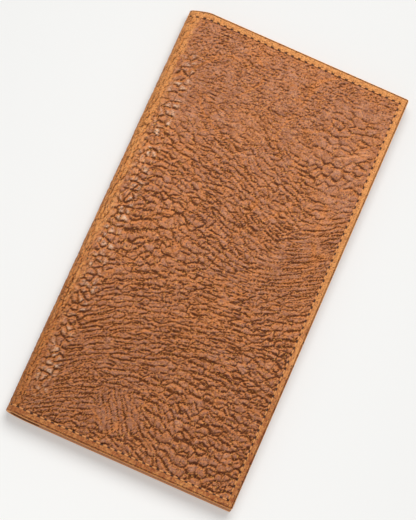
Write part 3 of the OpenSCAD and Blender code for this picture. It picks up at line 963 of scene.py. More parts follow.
class FoldedSheet:
    """A sheet that is flat on both halves and bends round the fold: the hide or the lining."""

    def __init__(
        self, plan: CoverPlan, layer: SheetLayer, finish: bpy.types.Material, grain: HideGrain | None,
    ) -> None:
        """Keeps what the sheet is made from.

        Args:
            plan: sizes of the cover.
            layer: the layer to build.
            finish: its material.
            grain: relief of its outer face, or None for a smooth sheet.
        """
        self.plan, self.layer, self.finish, self.grain = plan, layer, finish, grain

    def build(self) -> None:
        """Builds the two panels and the four strips."""
        plan, layer = self.plan, self.layer
        for half in Half:
            piece = self._panel(half)
            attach(piece, half.value)
            node = f"{half.value}_cover" if layer.node_word == "hide" else f"{half.value}_lining"
            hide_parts(node)
        for strip in Strip:
            piece = self._strip(strip)
            bend_strip(plan, piece, strip)
            if strip in STRIP_NODES:
                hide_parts(STRIP_NODES[strip].format(layer.node_word))

    def _lines_u(self, start: float, end: float) -> np.ndarray:
        """Grid lines across the sheet between two places, closer together at the seam."""
        count = max(2, round((end - start) / self.layer.step) + 1)
        lines = np.linspace(start, end, count)
        inset = self.plan.open_x - self.plan.seam_x
        for seam in (inset, self.plan.sheet_w - inset):
            lines = self._closer(lines, seam)
        return lines

    def _lines_v(self) -> np.ndarray:
        """Grid lines along the fold, closer together at the seam."""
        reach = self.plan.half_l - self.layer.rim_r
        lines = np.linspace(-reach, reach, round(2 * reach / self.layer.step) + 1)
        for seam in (-self.plan.seam_y, self.plan.seam_y):
            lines = self._closer(lines, seam)
        return lines

    def _closer(self, lines: np.ndarray, seam: float) -> np.ndarray:
        """Puts seven lines close together at a seam in place of those near it."""
        if self.grain is None or not lines[0] < seam < lines[-1]:
            return lines
        near = seam + np.array([-0.75, -0.48, -0.22, 0.0, 0.22, 0.48, 0.75]) * MM
        kept = lines[np.abs(lines - seam) > 0.95 * MM]
        return np.sort(np.concatenate([kept, near]))

    def _sample(self, u: np.ndarray, v: np.ndarray) -> HideFields:
        """Fields of the sheet at places, with plain ones for a smooth sheet."""
        if self.grain is not None:
            fields = self.grain.fields(u, v)
        else:
            zero = np.zeros(u.shape)
            flow = np.stack([u / MM, v / MM, zero], axis=-1)
            seam = np.stack([zero, zero + 9.0, zero], axis=-1)
            fields = HideFields(zero, zero, zero, zero + 0.5, zero + 0.5, flow, seam)
        fields.depth = fields.depth + self.layer.outer
        return fields

    def _attributes(self, fields: HideFields, rim: float) -> dict[str, np.ndarray]:
        """Point attributes of some places of the sheet."""
        return {
            "crease": fields.crease,
            "bank": fields.bank,
            "rub": fields.rub,
            "plateau": fields.plateau,
            "flow": fields.flow,
            "seam": fields.seam,
            "rim": np.full(fields.crease.shape, rim),
        }

    def _slab(self, name: str, u_lines: np.ndarray, open_end: int, cap: bool) -> bpy.types.Object:
        """Closed slab of the sheet over a stretch of u.

        The outer face is a grid. Rings go from its rim round a quarter circle, down the cut edge
        and round again to the inner face, which is one flat face or a grid of its own.

        Args:
            name: name of the piece.
            u_lines: grid lines across the sheet.
            open_end: -1 or 1 where the first or the last line is at the open edge, else 0.
            cap: whether the inner face is one flat face.

        Returns:
            The object.
        """
        plan, layer = self.plan, self.layer
        u, v = np.meshgrid(u_lines, self._lines_v(), indexing="ij")
        fields = self._sample(u, v)
        mesh = Mesh(name)
        points = plan.place(u, v, fields.depth)
        mesh.add(points, **self._attributes(fields, 0.0))
        rows, cols = u.shape
        mesh.quads(grid_quads(rows, cols))
        loop = rim_loop(rows, cols)
        ring_u, ring_v = u.ravel()[loop], v.ravel()[loop]
        out_u = np.where(ring_u == u_lines[-1 if open_end > 0 else 0], float(open_end), 0.0)
        out_v = np.where(np.abs(ring_v) == np.abs(ring_v).max(), np.sign(ring_v), 0.0)
        ring_fields = HideFields(*(
            getattr(fields, key).reshape(rows * cols, -1)[loop].squeeze()
            for key in ("depth", "crease", "bank", "rub", "plateau", "flow", "seam")
        ))
        free = (out_u != 0) | (out_v != 0)
        previous = loop
        r, thick = layer.rim_r, layer.inner - layer.outer
        profile = [(r * math.sin(t), r * (1 - math.cos(t)), 1.0) for t in (0.5, 1.0, math.pi / 2)]
        profile += [(r, thick - 0.6 * r, 0.0), (0.85 * r, thick - 0.2 * r, 0.0), (0.4 * r, thick, 0.0)]
        for out, down, follow in profile:
            below = layer.outer + down
            lowered = below + follow * (ring_fields.depth - layer.outer)
            depth = np.where(free, lowered, np.maximum(below, ring_fields.depth))
            ring = mesh.add(
                plan.place(ring_u + out * out_u, ring_v + out * out_v, depth),
                **self._attributes(ring_fields, min(1.0, down / r)),
            )
            mesh.quads(ring_quads(previous, ring), flip=True)
            previous = ring
        if cap:
            mesh.caps.append(previous)
        else:
            points = plan.place(u, v, np.full(u.shape, layer.inner))
            inside = mesh.add(points, **self._attributes(fields, 1.0))
            mesh.quads(inside[0] + grid_quads(rows, cols), flip=True)
            mesh.quads(ring_quads(previous, inside[loop]), flip=True)
        piece = mesh.build(self.finish)
        self._match_joins(piece, u, v, fields.depth)
        LOG.info("%s: %d faces", name, len(piece.data.polygons))
        return piece

    def _match_joins(
        self, piece: bpy.types.Object, u: np.ndarray, v: np.ndarray, depth: np.ndarray,
    ) -> None:
        """Sets the normals along the first and last line to those of the unparted sheet.

        A normal there is the cross product of the slopes along u and v, taken a small step to
        each side of the line.
        """
        nudge = 0.2 * MM
        numbers, normals = [], []
        for row in (0, u.shape[0] - 1):
            at_u, at_v = u[row], v[row]
            here = depth[row]
            ahead = self.plan.place(at_u + nudge, at_v, self._sample(at_u + nudge, at_v).depth)
            behind = self.plan.place(at_u - nudge, at_v, self._sample(at_u - nudge, at_v).depth)
            along = np.gradient(self.plan.place(at_u, at_v, here), axis=0)
            normal = np.cross(ahead - behind, along)
            normal /= np.linalg.norm(normal, axis=1, keepdims=True)
            out = self.plan.outward(at_u)
            normal *= np.sign((normal * out).sum(axis=1, keepdims=True))
            numbers.append(np.arange(u.shape[1]) + row * u.shape[1])
            normals.append(normal)
        share_normals(piece, np.concatenate(numbers), np.concatenate(normals))

    def _panel(self, half: Half) -> bpy.types.Object:
        """Panel of one half, from the fold to its open edge."""
        plan, r = self.plan, self.layer.rim_r
        name = f"{half.value}_panel_{self.layer.word}"
        if half is Half.BACK:
            return self._slab(name, self._lines_u(r, plan.panel_w), -1, cap=True)
        lines = self._lines_u(plan.sheet_w - plan.panel_w, plan.sheet_w - r)
        return self._slab(name, lines, 1, cap=True)

    def _strip(self, strip: Strip) -> bpy.types.Object:
        """One quarter of the fold."""
        plan = self.plan
        start = plan.panel_w + list(Strip).index(strip) * plan.fold_w / 4
        lines = np.linspace(start, start + plan.fold_w / 4, 9)
        return self._slab(f"fold_{strip_name(strip)}_{self.layer.word}", lines, 0, cap=False)


class Pocket:
    """Pocket sheet of one half: a sewn margin that rises to the panel, and a burnished mouth."""

    STEP = 1.1 * MM
    MARGIN = 5.0 * MM
    NOTCH_R = 11.0 * MM

    def __init__(self, plan: CoverPlan, half: Half, finish: bpy.types.Material) -> None:
        """Keeps which half the pocket is sewn to."""
        self.plan, self.half, self.finish = plan, half, finish
        self.mouth_x = plan.check_x if half is Half.BACK else plan.register_x

    def _mouth(self, v: np.ndarray) -> np.ndarray:
        """X of the mouth's edge: straight, with a round thumb notch on the front half.

        The notch is the arc x = mouth + root(radius squared less v squared), with its two
        corners eased.
        """
        if self.half is Half.BACK:
            return np.full(v.shape, self.mouth_x)
        arc = np.sqrt(np.clip(self.NOTCH_R**2 - v**2, 0.0, None))
        soft = 0.8 * MM
        return self.mouth_x + arc * smoothstep(arc, 0.0, 3 * soft) ** 0.25

    def build(self) -> None:
        """Builds the sheet as two grids joined by a rounded rim."""
        plan = self.plan
        node = "check_pocket" if self.half is Half.BACK else "register_pocket"
        rise = plan.panel_t - plan.margin_t
        thick = plan.margin_t - plan.base_t
        r = 0.3 * thick
        v_lines = np.linspace(-plan.half_l + r, plan.half_l - r, round(2 * plan.half_l / self.STEP) + 1)
        t_lines = np.linspace(0.0, 1.0, round((plan.open_x - self.mouth_x) / self.STEP) + 1)
        t, v = np.meshgrid(t_lines, v_lines, indexing="ij")
        mouth = self._mouth(v)
        x = mouth + r + t * (plan.open_x - mouth - 2 * r)
        inside = np.minimum(plan.open_x - x, plan.half_l - np.abs(v))
        lift = smoothstep(inside, self.MARGIN - 0.8 * MM, self.MARGIN + 1.2 * MM)
        swell = 0.05 * MM * fractal_noise(x / (14 * MM), v / (14 * MM), 41 + len(node))
        inner = plan.margin_t + lift * (rise - 0.03 * MM) + lift * (swell - 0.05 * MM)
        outer = plan.base_t + lift * rise
        mesh = Mesh(f"{node}_leather")
        shape = t.shape
        top = mesh.add(self._place(x, v, inner), **self._attributes(x, v, 0.0, t))
        low = mesh.add(self._place(x, v, outer), **self._attributes(x, v, 0.0, t))
        front = self.half is Half.FRONT
        mesh.quads(top[0] + grid_quads(*shape), flip=front)
        mesh.quads(low[0] + grid_quads(*shape), flip=not front)
        loop = rim_loop(*shape)
        at_x, at_v = x.ravel()[loop], v.ravel()[loop]
        at_t = t.ravel()[loop]
        out_x = np.where(at_t == 1.0, 1.0, np.where(at_t == 0.0, -1.0, 0.0))
        out_v = np.where(np.abs(at_v) == np.abs(at_v).max(), np.sign(at_v), 0.0)
        upper, lower = inner.ravel()[loop], outer.ravel()[loop]
        previous = top[loop]
        for turn in (0.6, 1.2, 1.94, 2.54):
            share = 0.5 - 0.5 * math.cos(turn)
            reach = r * math.sin(turn)
            depth = upper + (lower - upper) * share
            ring = mesh.add(
                self._place(at_x + reach * out_x, at_v + reach * out_v, depth),
                **self._attributes(at_x, at_v, 1.0, at_t),
            )
            mesh.quads(ring_quads(previous, ring), flip=not front)
            previous = ring
        mesh.quads(ring_quads(previous, low[loop]), flip=not front)
        piece = mesh.build(self.finish)
        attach(piece, self.half.value)
        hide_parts(node)
        LOG.info("%s: %d faces", piece.name, len(piece.data.polygons))

    def _attributes(self, x: np.ndarray, v: np.ndarray, rim: float, t: np.ndarray) -> dict[str, np.ndarray]:
        """Point attributes: grain coordinates, how near the mouth is, and the rim."""
        flow = np.stack([x / MM, v / MM, np.zeros_like(x)], axis=-1)
        mouth = 1.0 - smoothstep(t, 0.0, 0.03)
        return {"flow": flow, "mouth": mouth, "rim": np.full(x.shape, rim)}

    def _place(self, x: np.ndarray, v: np.ndarray, depth: np.ndarray) -> np.ndarray:
        """Places points of the pocket, given their depth from the outside of their half."""
        plan = self.plan
        u = plan.open_x - x
        if self.half is Half.FRONT:
            u = plan.sheet_w - u
        return plan.place(u, v, depth)


@dataclass(frozen=True)
class ThreadRun:
    """How a thread lies: its depth between holes and in them, on either side of the leather.

    Attributes:
        word: word in the names of its pieces.
        lie: depth of its middle between two holes, at the fold and by the mouth.
        dive: how much deeper it is in a hole, negative for the inner thread.
        step_up: how much deeper it lies on the sewn margin of a pocket.
    """

    word: str
    lie: float
    dive: float
    step_up: float


class Seam:
    """The seam round the cover: an outer and an inner thread that dip into the needle holes."""

    SIDES = 8
    DIP_L = 0.52 * MM
    THICK = 0.42 * MM

    def __init__(self, plan: CoverPlan, finish: bpy.types.Material) -> None:
        """Keeps the plan and the thread's finish."""
        self.plan, self.finish, self.rows = plan, finish, SeamRows(plan)
        self.outer = ThreadRun("outer", 0.25 * MM, 0.5 * MM, 0.0)
        self.inner = ThreadRun("inner", plan.base_t + 0.16 * MM, -0.4 * MM, plan.margin_t - plan.base_t)

    def build(self) -> None:
        """Builds both threads of each half, and one piece for each strip of the fold."""
        for half in Half:
            for run, node_word in ((self.outer, "needle"), (self.inner, "bobbin")):
                u, v, phase = self.rows.half_route(half is Half.FRONT)
                mesh = Mesh(f"{half.value}_{run.word}_thread")
                self._tube(mesh, u, v, phase, run, half)
                piece = mesh.build(self.finish)
                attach(piece, half.value)
                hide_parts(f"{half.value}_{node_word}_thread")
                LOG.info("%s: %d faces", piece.name, len(piece.data.polygons))
        for strip in Strip:
            self._strip(strip)

    def _strip(self, strip: Strip) -> None:
        """The four short threads that cross one strip of the fold."""
        plan, index = self.plan, list(Strip).index(strip)
        mesh = Mesh(f"fold_{strip_name(strip)}_threads")
        fractions = np.linspace(0.0, 1.0, 15)
        u = plan.panel_w + (index + fractions) * self.rows.fold_step
        phase = np.minimum(fractions, 1.0 - fractions)
        for side in (-1.0, 1.0):
            for run in (self.outer, self.inner):
                self._tube(mesh, u, np.full(u.shape, side * plan.seam_y), phase, run, None)
        piece = mesh.build(self.finish)
        bend_strip(plan, piece, strip)
        if strip in STRIP_NODES:
            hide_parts(STRIP_NODES[strip].format("stitches"))
        LOG.info("%s: %d faces", piece.name, len(piece.data.polygons))

    def _tube(
        self, mesh: Mesh, u: np.ndarray, v: np.ndarray, phase: np.ndarray, run: ThreadRun, half: Half | None,
    ) -> None:
        """Carries an oval profile along a stretch of the seam.

        The thread's middle lies at a fixed depth, and sinks by exp(-(distance to the nearest
        hole over a length) squared) into each hole. The profile is an ellipse whose axes are
        the surface's normal and the line across the thread.
        """
        plan = self.plan
        gap = phase * plan.stitch_l
        dip = np.exp(-((gap / self.DIP_L) ** 2))
        mouth = plan.check_x if half is Half.BACK else plan.register_x
        x = plan.place(u, v, np.zeros(u.shape))[:, 0]
        on_margin = smoothstep(x, mouth - 0.5 * MM, mouth + 0.1 * MM)
        if half is None:
            on_margin = np.zeros(u.shape)
        depth = run.lie + run.dive * dip + run.step_up * on_margin
        middle = plan.place(u, v, depth)
        tangent = np.gradient(middle, axis=0)
        tangent /= np.linalg.norm(tangent, axis=1, keepdims=True)
        normal = plan.outward(u)
        across = np.cross(tangent, normal)
        across /= np.linalg.norm(across, axis=1, keepdims=True)
        upright = np.cross(across, tangent)
        turn = np.arange(self.SIDES) * 2 * math.pi / self.SIDES
        half_w = plan.thread_w / 2 * (1.0 - 0.3 * dip)
        half_t = self.THICK / 2
        offset = (
            across[:, None] * (half_w[:, None] * np.cos(turn))[..., None]
            + upright[:, None] * (half_t * np.sin(turn))[None, :, None]
        )
        length = np.concatenate([[0.0], np.cumsum(np.linalg.norm(np.diff(middle, axis=0), axis=1))])
        count = len(u)
        twist = np.stack([
            np.broadcast_to((length / MM)[:, None], (count, self.SIDES)),
            np.broadcast_to(turn[None], (count, self.SIDES)),
            np.broadcast_to(dip[:, None], (count, self.SIDES)),
        ], axis=-1)
        numbers = mesh.add(middle[:, None] + offset, twist=twist).reshape(count, self.SIDES)
        for row in range(count - 1):
            mesh.quads(ring_quads(numbers[row], numbers[row + 1]), flip=True)
        mesh.caps.append(numbers[0])
        mesh.caps.append(numbers[-1][::-1])


class Divider:
    """Clear sheet: a tail in the check pocket, a crease in front of its mouth, and a flap."""

    THICK = 0.25 * MM
    RADIUS = 4.0 * MM
    STEP = 2.0 * MM

    def __init__(self, finish: bpy.types.Material) -> None:
        """Reads the sheet's place from its solids."""
        self.finish = finish
        self.tail_low, self.tail_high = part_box("divider_tail")
        self.flap_low, self.flap_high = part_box("divider_flap")
        self.crease_x = self.tail_low.x + self.THICK / 2
        self.tail_z = self.tail_low.z + self.THICK / 2
        self.flap_z = (self.flap_low.z + self.flap_high.z) / 2

    def build(self) -> None:
        """Builds the tail, the crease and the flap."""
        bend = 0.45 * MM
        turn = np.linspace(0.0, math.pi / 2, 6)
        riser_top = self.flap_z - 0.75 * MM
        tail = np.concatenate([
            np.stack([
                np.linspace(self.tail_high.x, self.crease_x + bend, 28),
                np.full(28, self.tail_z),
            ], -1)[:-1],
            np.stack([
                self.crease_x + bend - bend * np.sin(turn),
                self.tail_z + bend - bend * np.cos(turn),
            ], -1),
            [[self.crease_x, riser_top]],
        ])
        flap_start = self.crease_x + 0.9 * MM
        crease = np.concatenate([
            [[self.crease_x, riser_top]],
            np.stack([
                self.crease_x + bend - bend * np.cos(turn),
                self.flap_z - bend + bend * np.sin(turn),
            ], -1),
            [[flap_start, self.flap_z]],
        ])
        flap = np.stack([
            np.linspace(flap_start, self.flap_high.x, 36),
            np.full(36, self.flap_z),
        ], -1)
        piece = self._sheet("divider_tail_sheet", tail, round_start=True, round_end=False)
        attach(piece, "back")
        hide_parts("divider_tail")
        piece = self._sheet("divider_crease_sheet", crease, round_start=False, round_end=False)
        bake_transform(piece)
        piece = self._sheet("divider_flap_sheet", flap, round_start=False, round_end=True)
        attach(piece, "divider")
        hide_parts("divider_flap")

    def _sheet(self, name: str, line: np.ndarray, round_start: bool, round_end: bool) -> bpy.types.Object:
        """Carries a line of the XZ plane along Y, as a thin closed sheet.

        At a round end the half width follows a quarter circle over the corner's radius.

        Args:
            name: name of the piece.
            line: points of the middle of the sheet.
            round_start, round_end: which ends have round corners.

        Returns:
            The object.
        """
        run = np.concatenate([[0.0], np.cumsum(np.linalg.norm(np.diff(line, axis=0), axis=1))])
        if round_start or round_end:
            spot = 0.0 if round_start else run[-1]
            extra = self.RADIUS * (1 - np.cos(np.linspace(0.0, math.pi / 2, 7)))
            extra = spot + extra if round_start else spot - extra
            places = np.unique(np.round(np.concatenate([run, extra]), 7))
            line = np.stack([np.interp(places, run, line[:, k]) for k in (0, 1)], -1)
            run = places
        half = np.full(run.shape, self.flap_high.y)
        for rounded, distance in ((round_start, run), (round_end, run[-1] - run)):
            if rounded:
                inner = np.clip(self.RADIUS - distance, 0.0, self.RADIUS)
                half = half - self.RADIUS + np.sqrt(self.RADIUS**2 - inner**2)
        tangent = np.gradient(line, axis=0)
        tangent /= np.linalg.norm(tangent, axis=1, keepdims=True)
        normal = np.stack([-tangent[:, 1], tangent[:, 0]], -1)
        share = np.linspace(-1.0, 1.0, round(2 * self.flap_high.y / self.STEP) + 1)
        y = half[:, None] * share
        shape = y.shape
        mesh = Mesh(name)

        def face(offset: float) -> np.ndarray:
            """Points of one face of the sheet."""
            at = line + normal * offset
            return np.stack([
                np.broadcast_to(at[:, :1], shape), y, np.broadcast_to(at[:, 1:], shape),
            ], axis=-1)

        top = mesh.add(face(self.THICK / 2))
        low = mesh.add(face(-self.THICK / 2))
        mesh.quads(top[0] + grid_quads(*shape), flip=False)
        mesh.quads(low[0] + grid_quads(*shape), flip=True)
        loop = rim_loop(*shape)
        mesh.quads(ring_quads(top[loop], low[loop]), flip=True)
        piece = mesh.build(self.finish)
        LOG.info("%s: %d faces", name, len(piece.data.polygons))
        return piece


Input = float | Colour | bpy.types.NodeSocket


class NodeBench:
    """Adds nodes to one shader tree and joins them."""

    def __init__(self, tree: bpy.types.NodeTree) -> None:
        """Works on one tree."""
        self.tree = tree

    def add(
        self, kind: str, inputs: dict[str | int, Input] | None = None, **settings: object,
    ) -> bpy.types.Node:
        """Adds a node.

        Args:
            kind: type of node.
            inputs: for each input, a value or the output that feeds it.
            settings: properties of the node.

        Returns:
            The node.
        """
        node = self.tree.nodes.new(kind)
        for key, value in settings.items():
            setattr(node, key, value)
        for key, value in (inputs or {}).items():
            self.feed(node.inputs[key], value)
        return node

    def feed(self, socket: bpy.types.NodeSocket, value: Input) -> None:
        """Sets an input, or joins an output to it."""
        if isinstance(value, bpy.types.NodeSocket):
            self.tree.links.new(value, socket)
        else:
            socket.default_value = value

    def math(self, operation: str, *operands: Input, clamp: bool = False) -> bpy.types.NodeSocket:
        """Result of a Math node."""
        inputs = dict(enumerate(operands))
        return self.add("ShaderNodeMath", inputs, operation=operation, use_clamp=clamp).outputs[0]

    def mix(self, factor: Input, a: Input, b: Input, blend: str = "MIX") -> bpy.types.NodeSocket:
        """Result of mixing two colours."""
        node = self.add("ShaderNodeMix", data_type="RGBA", blend_type=blend)
        for index, value in ((0, factor), (6, a), (7, b)):
            self.feed(node.inputs[index], value)
        return node.outputs[2]

    def veil(self, tone: Input, mask: Input, share: Input, colour: Input) -> bpy.types.NodeSocket:
        """Lays a share of a colour over a tone where a mask is."""
        return self.mix(self.math("MULTIPLY", mask, share), tone, colour)

    def span(
        self, value: Input, low: float, high: float, to_low: float = 0.0, to_high: float = 1.0,
    ) -> bpy.types.NodeSocket:
        """Maps a range of values smoothly to another."""
        node = self.add("ShaderNodeMapRange", interpolation_type="SMOOTHSTEP")
        for index, item in enumerate((value, low, high, to_low, to_high)):
            self.feed(node.inputs[index], item)
        return node.outputs[0]

    def noise(
        self, vector: Input, scale: Input, detail: float = 2.0, roughness: float = 0.5,
    ) -> bpy.types.NodeSocket:
        """Value of a Noise texture."""
        return self.add(
            "ShaderNodeTexNoise",
            {"Vector": vector, "Scale": scale, "Detail": detail, "Roughness": roughness},
        ).outputs["Fac"]

    def attribute(self, name: str, output: str = "Fac") -> bpy.types.NodeSocket:
        """A field of the mesh."""
        return self.add("ShaderNodeAttribute", attribute_name=name).outputs[output]

    def split(self, vector: bpy.types.NodeSocket) -> tuple[bpy.types.NodeSocket, ...]:
        """The three parts of a vector."""
        return tuple(self.add("ShaderNodeSeparateXYZ", {0: vector}).outputs)


class EffectGroup:
    """A shader node group with named inputs and outputs, built once."""

    def __init__(self, name: str, inputs: dict[str, tuple[str, float]], outputs: dict[str, str]) -> None:
        """Makes the group and its sockets.

        Args:
            name: name of the group.
            inputs: for each input, its type and its value when nothing is joined.
            outputs: for each output, its type.
        """
        self.tree = bpy.data.node_groups.new(name, "ShaderNodeTree")
        for label, (kind, value) in inputs.items():
            socket = self.tree.interface.new_socket(label, in_out="INPUT", socket_type=kind)
            if kind == "NodeSocketFloat":
                socket.default_value = value
        for label, kind in outputs.items():
            self.tree.interface.new_socket(label, in_out="OUTPUT", socket_type=kind)
        self.bench = NodeBench(self.tree)
        self.source = self.tree.nodes.new("NodeGroupInput")
        self.target = self.tree.nodes.new("NodeGroupOutput")

    def inlet(self, label: str) -> bpy.types.NodeSocket:
        """Output of the group's input node."""
        return self.source.outputs[label]

    def give(self, label: str, value: bpy.types.NodeSocket) -> None:
        """Joins a value to an output of the group."""
        self.bench.feed(self.target.inputs[label], value)

    def place(self, bench: NodeBench, **inputs: Input) -> bpy.types.Node:
        """Puts the group into a material, with its own values."""
        node = bench.add("ShaderNodeGroup", node_tree=self.tree)
        for label, value in inputs.items():
            bench.feed(node.inputs[label], value)
        return node


class Effects:
    """The effects that more than one material uses."""

    def __init__(self) -> None:
        """Builds each group once."""
        self.pores = self._pores()
        self.flecks = self._flecks()
        self.mottle = self._mottle()

    @staticmethod
    def _pores() -> EffectGroup:
        """Fine grain: small cells with soft walls, and pin-point pores."""
        group = EffectGroup(
            "fine_grain",
            {"Place": ("NodeSocketVector", 0.0), "Size": ("NodeSocketFloat", 0.6)},
            {"Height": "NodeSocketFloat", "Pore": "NodeSocketFloat"},
        )
        bench = group.bench
        scale = bench.math("DIVIDE", 1.0, group.inlet("Size"))
        cells = bench.add(
            "ShaderNodeTexVoronoi",
            {"Vector": group.inlet("Place"), "Scale": scale},
            feature="DISTANCE_TO_EDGE",
        ).outputs["Distance"]
        fine = bench.noise(group.inlet("Place"), bench.math("MULTIPLY", scale, 2.6), 3.0, 0.6)
        wall = bench.span(cells, 0.0, 0.16)
        group.give("Height", bench.math("MULTIPLY_ADD", wall, 0.7, bench.math("MULTIPLY", fine, 0.6)))
        group.give("Pore", bench.math("SUBTRACT", 1.0, wall, clamp=True))
        return group

    @staticmethod
    def _flecks() -> EffectGroup:
        """Scattered specks where a fine noise passes a level."""
        group = EffectGroup(
            "flecks",
            {
                "Place": ("NodeSocketVector", 0.0),
                "Size": ("NodeSocketFloat", 0.5),
                "Level": ("NodeSocketFloat", 0.62),
            },
            {"Mask": "NodeSocketFloat"},
        )
        bench = group.bench
        scale = bench.math("DIVIDE", 1.0, group.inlet("Size"))
        noise = bench.noise(group.inlet("Place"), scale, 2.0, 0.55)
        above = bench.math("SUBTRACT", noise, group.inlet("Level"))
        group.give("Mask", bench.math("MULTIPLY", above, 12.0, clamp=True))
        return group

    @staticmethod
    def _mottle() -> EffectGroup:
        """Cloudy change of tone at a large and a middle scale."""
        group = EffectGroup(
            "mottle",
            {"Place": ("NodeSocketVector", 0.0), "Size": ("NodeSocketFloat", 10.0)},
            {"Tone": "NodeSocketFloat"},
        )
        bench = group.bench
        scale = bench.math("DIVIDE", 1.0, group.inlet("Size"))
        cloud = bench.noise(group.inlet("Place"), scale, 4.0, 0.62)
        group.give("Tone", bench.span(cloud, 0.32, 0.68))
        return group


def new_material(name: str) -> tuple[bpy.types.Material, NodeBench, bpy.types.Node]:
    """An empty material with its Principled shader joined to its output."""
    material = bpy.data.materials.new(name)
    material.use_nodes = True
    material.node_tree.nodes.clear()
    bench = NodeBench(material.node_tree)
    shader = bench.add("ShaderNodeBsdfPrincipled")
    output = bench.add("ShaderNodeOutputMaterial")
    bench.feed(output.inputs["Surface"], shader.outputs["BSDF"])
    return material, bench, shader


@dataclass(frozen=True)
class HideFinish:
    """Oiled pull-up leather: brown plateaus, orange banks with painted light, painted shade in the creases
    and holes, painted highlights and a golden margin.
    """

    plateau: Colour = srgb(178, 125, 98)
    plateau_dark: Colour = srgb(134, 82, 58)
    # orange of creases and pores; on the banks it also carries painted light
    crease: Colour = srgb(208, 124, 56)
    # painted shade in the creases and in the seam's groove
    crease_deep: Colour = srgb(64, 25, 8)
    rubbed: Colour = srgb(184, 116, 70)
    margin: Colour = srgb(230, 159, 91)
    margin_deep: Colour = srgb(132, 50, 4)
    dark_fleck: Colour = srgb(54, 34, 28)
    gold_fleck: Colour = srgb(232, 164, 84)
    # painted highlight, also laid on the scratches
    shine: Colour = srgb(236, 200, 168)
    # painted shade inside the needle holes
    hole: Colour = srgb(52, 25, 12)
    cut_edge: Colour = srgb(236, 166, 86)
    cut_edge_dark: Colour = srgb(200, 122, 54)

    def material(self, effects: Effects) -> bpy.types.Material:
        """Builds the material from the hide's fields."""
        material, bench, shader = new_material("oiled_hide")
        flow = bench.attribute("flow", "Vector")
        # last part of flow: painted highlights and scratches
        highlight_and_scratch = bench.split(flow)[2]
        crease = bench.attribute("crease")
        bank = bench.attribute("bank")
        rub = bench.attribute("rub")
        rim = bench.attribute("rim")
        along, across, golden = bench.split(bench.attribute("seam", "Vector"))
        pores = effects.pores.place(bench, Place=flow, Size=0.62)
        mottle = effects.mottle.place(bench, Place=flow, Size=4.0).outputs["Tone"]
        dark = effects.flecks.place(bench, Place=flow, Size=0.58, Level=0.57).outputs["Mask"]
        shifted = bench.add("ShaderNodeMapping", {"Vector": flow, "Location": (31.0, 17.0, 5.0)}).outputs[0]
        gold = effects.flecks.place(bench, Place=shifted, Size=0.62, Level=0.6).outputs["Mask"]
        tone = bench.mix(mottle, self.plateau_dark, self.plateau)
        patch = bench.span(bench.attribute("plateau"), 0.2, 1.0, 0.0, 0.7)
        tone = bench.mix(patch, tone, self.plateau_dark)
        tone = bench.veil(tone, bench.span(rub, 0.3, 1.0), 0.7, self.rubbed)
        # painted highlights on scale tops beside the fold, and the scratches in the same pale tone
        tone = bench.veil(tone, highlight_and_scratch, 0.75, self.shine)
        tone = bench.veil(tone, pores.outputs["Pore"], 0.4, self.crease)
        speck = effects.mottle.place(bench, Place=shifted, Size=1.1).outputs["Tone"]
        margin = bench.mix(bench.span(rub, -0.5, 0.9), self.margin_deep, self.margin)
        stained = bench.span(rub, 0.2, 0.9, 0.85, 0.4)
        margin = bench.veil(margin, speck, stained, self.margin_deep)
        tone = bench.veil(tone, golden, 0.85, margin)
        # orange banks: the creases' own tone, with painted light on the far side of each scale, which faces
        # the lamp
        tone = bench.veil(tone, bench.span(bank, 0.05, 0.65), 0.74, self.crease)
        # painted shade in the creases, most under the near side of each scale
        tone = bench.veil(tone, bench.span(crease, 0.05, 0.62), 0.84, self.crease_deep)
        tone = bench.veil(tone, dark, 0.8, self.dark_fleck)
        tone = bench.veil(tone, gold, 0.6, self.gold_fleck)
        # painted shade in the needle holes and the seam's groove
        tone = self._holes(bench, tone, along, across)
        edge = bench.mix(bench.noise(flow, 2.2, 3.0), self.cut_edge_dark, self.cut_edge)
        tone = bench.mix(bench.span(rim, 0.5, 0.95), tone, edge)
        bench.feed(shader.inputs["Base Color"], tone)
        rough = bench.math("MULTIPLY_ADD", crease, 0.2, bench.span(mottle, 0.0, 1.0, 0.56, 0.48))
        bench.feed(shader.inputs["Roughness"], bench.math("MULTIPLY_ADD", highlight_and_scratch, -0.28, rough))
        shader.inputs["IOR"].default_value = 1.45
        sheen = bench.math("MAXIMUM", crease, bench.math("MULTIPLY", golden, 0.35))
        bench.feed(shader.inputs["Specular IOR Level"], bench.span(sheen, 0.0, 0.5, 0.5, 0.12))
        height = bench.math("MULTIPLY_ADD", dark, -0.3, pores.outputs["Height"])
        bump = bench.add("ShaderNodeBump", {"Height": height, "Strength": 0.6, "Distance": 0.24 * MM})
        bench.feed(shader.inputs["Normal"], bump.outputs["Normal"])
        return material

    def _holes(
        self, bench: NodeBench, tone: Input, along: bpy.types.NodeSocket, across: bpy.types.NodeSocket,
    ) -> bpy.types.NodeSocket:
        """Paints shade into the needle holes and, more weakly, into the groove of the seam."""
        fraction = bench.math("FRACT", bench.math("ADD", along, 0.5))
        gap = bench.math("ABSOLUTE", bench.math("SUBTRACT", fraction, 0.5))
        # painted shade inside the needle holes
        hole_shade = bench.math("MULTIPLY", bench.span(gap, 0.29, 0.18), bench.span(across, 0.36, 0.18))
        # painted shade along the seam's groove
        groove = bench.math("MULTIPLY", bench.span(across, 0.5, 0.25), 0.1)
        tone = bench.mix(groove, tone, self.crease_deep)
        return bench.mix(hole_shade, tone, self.hole)


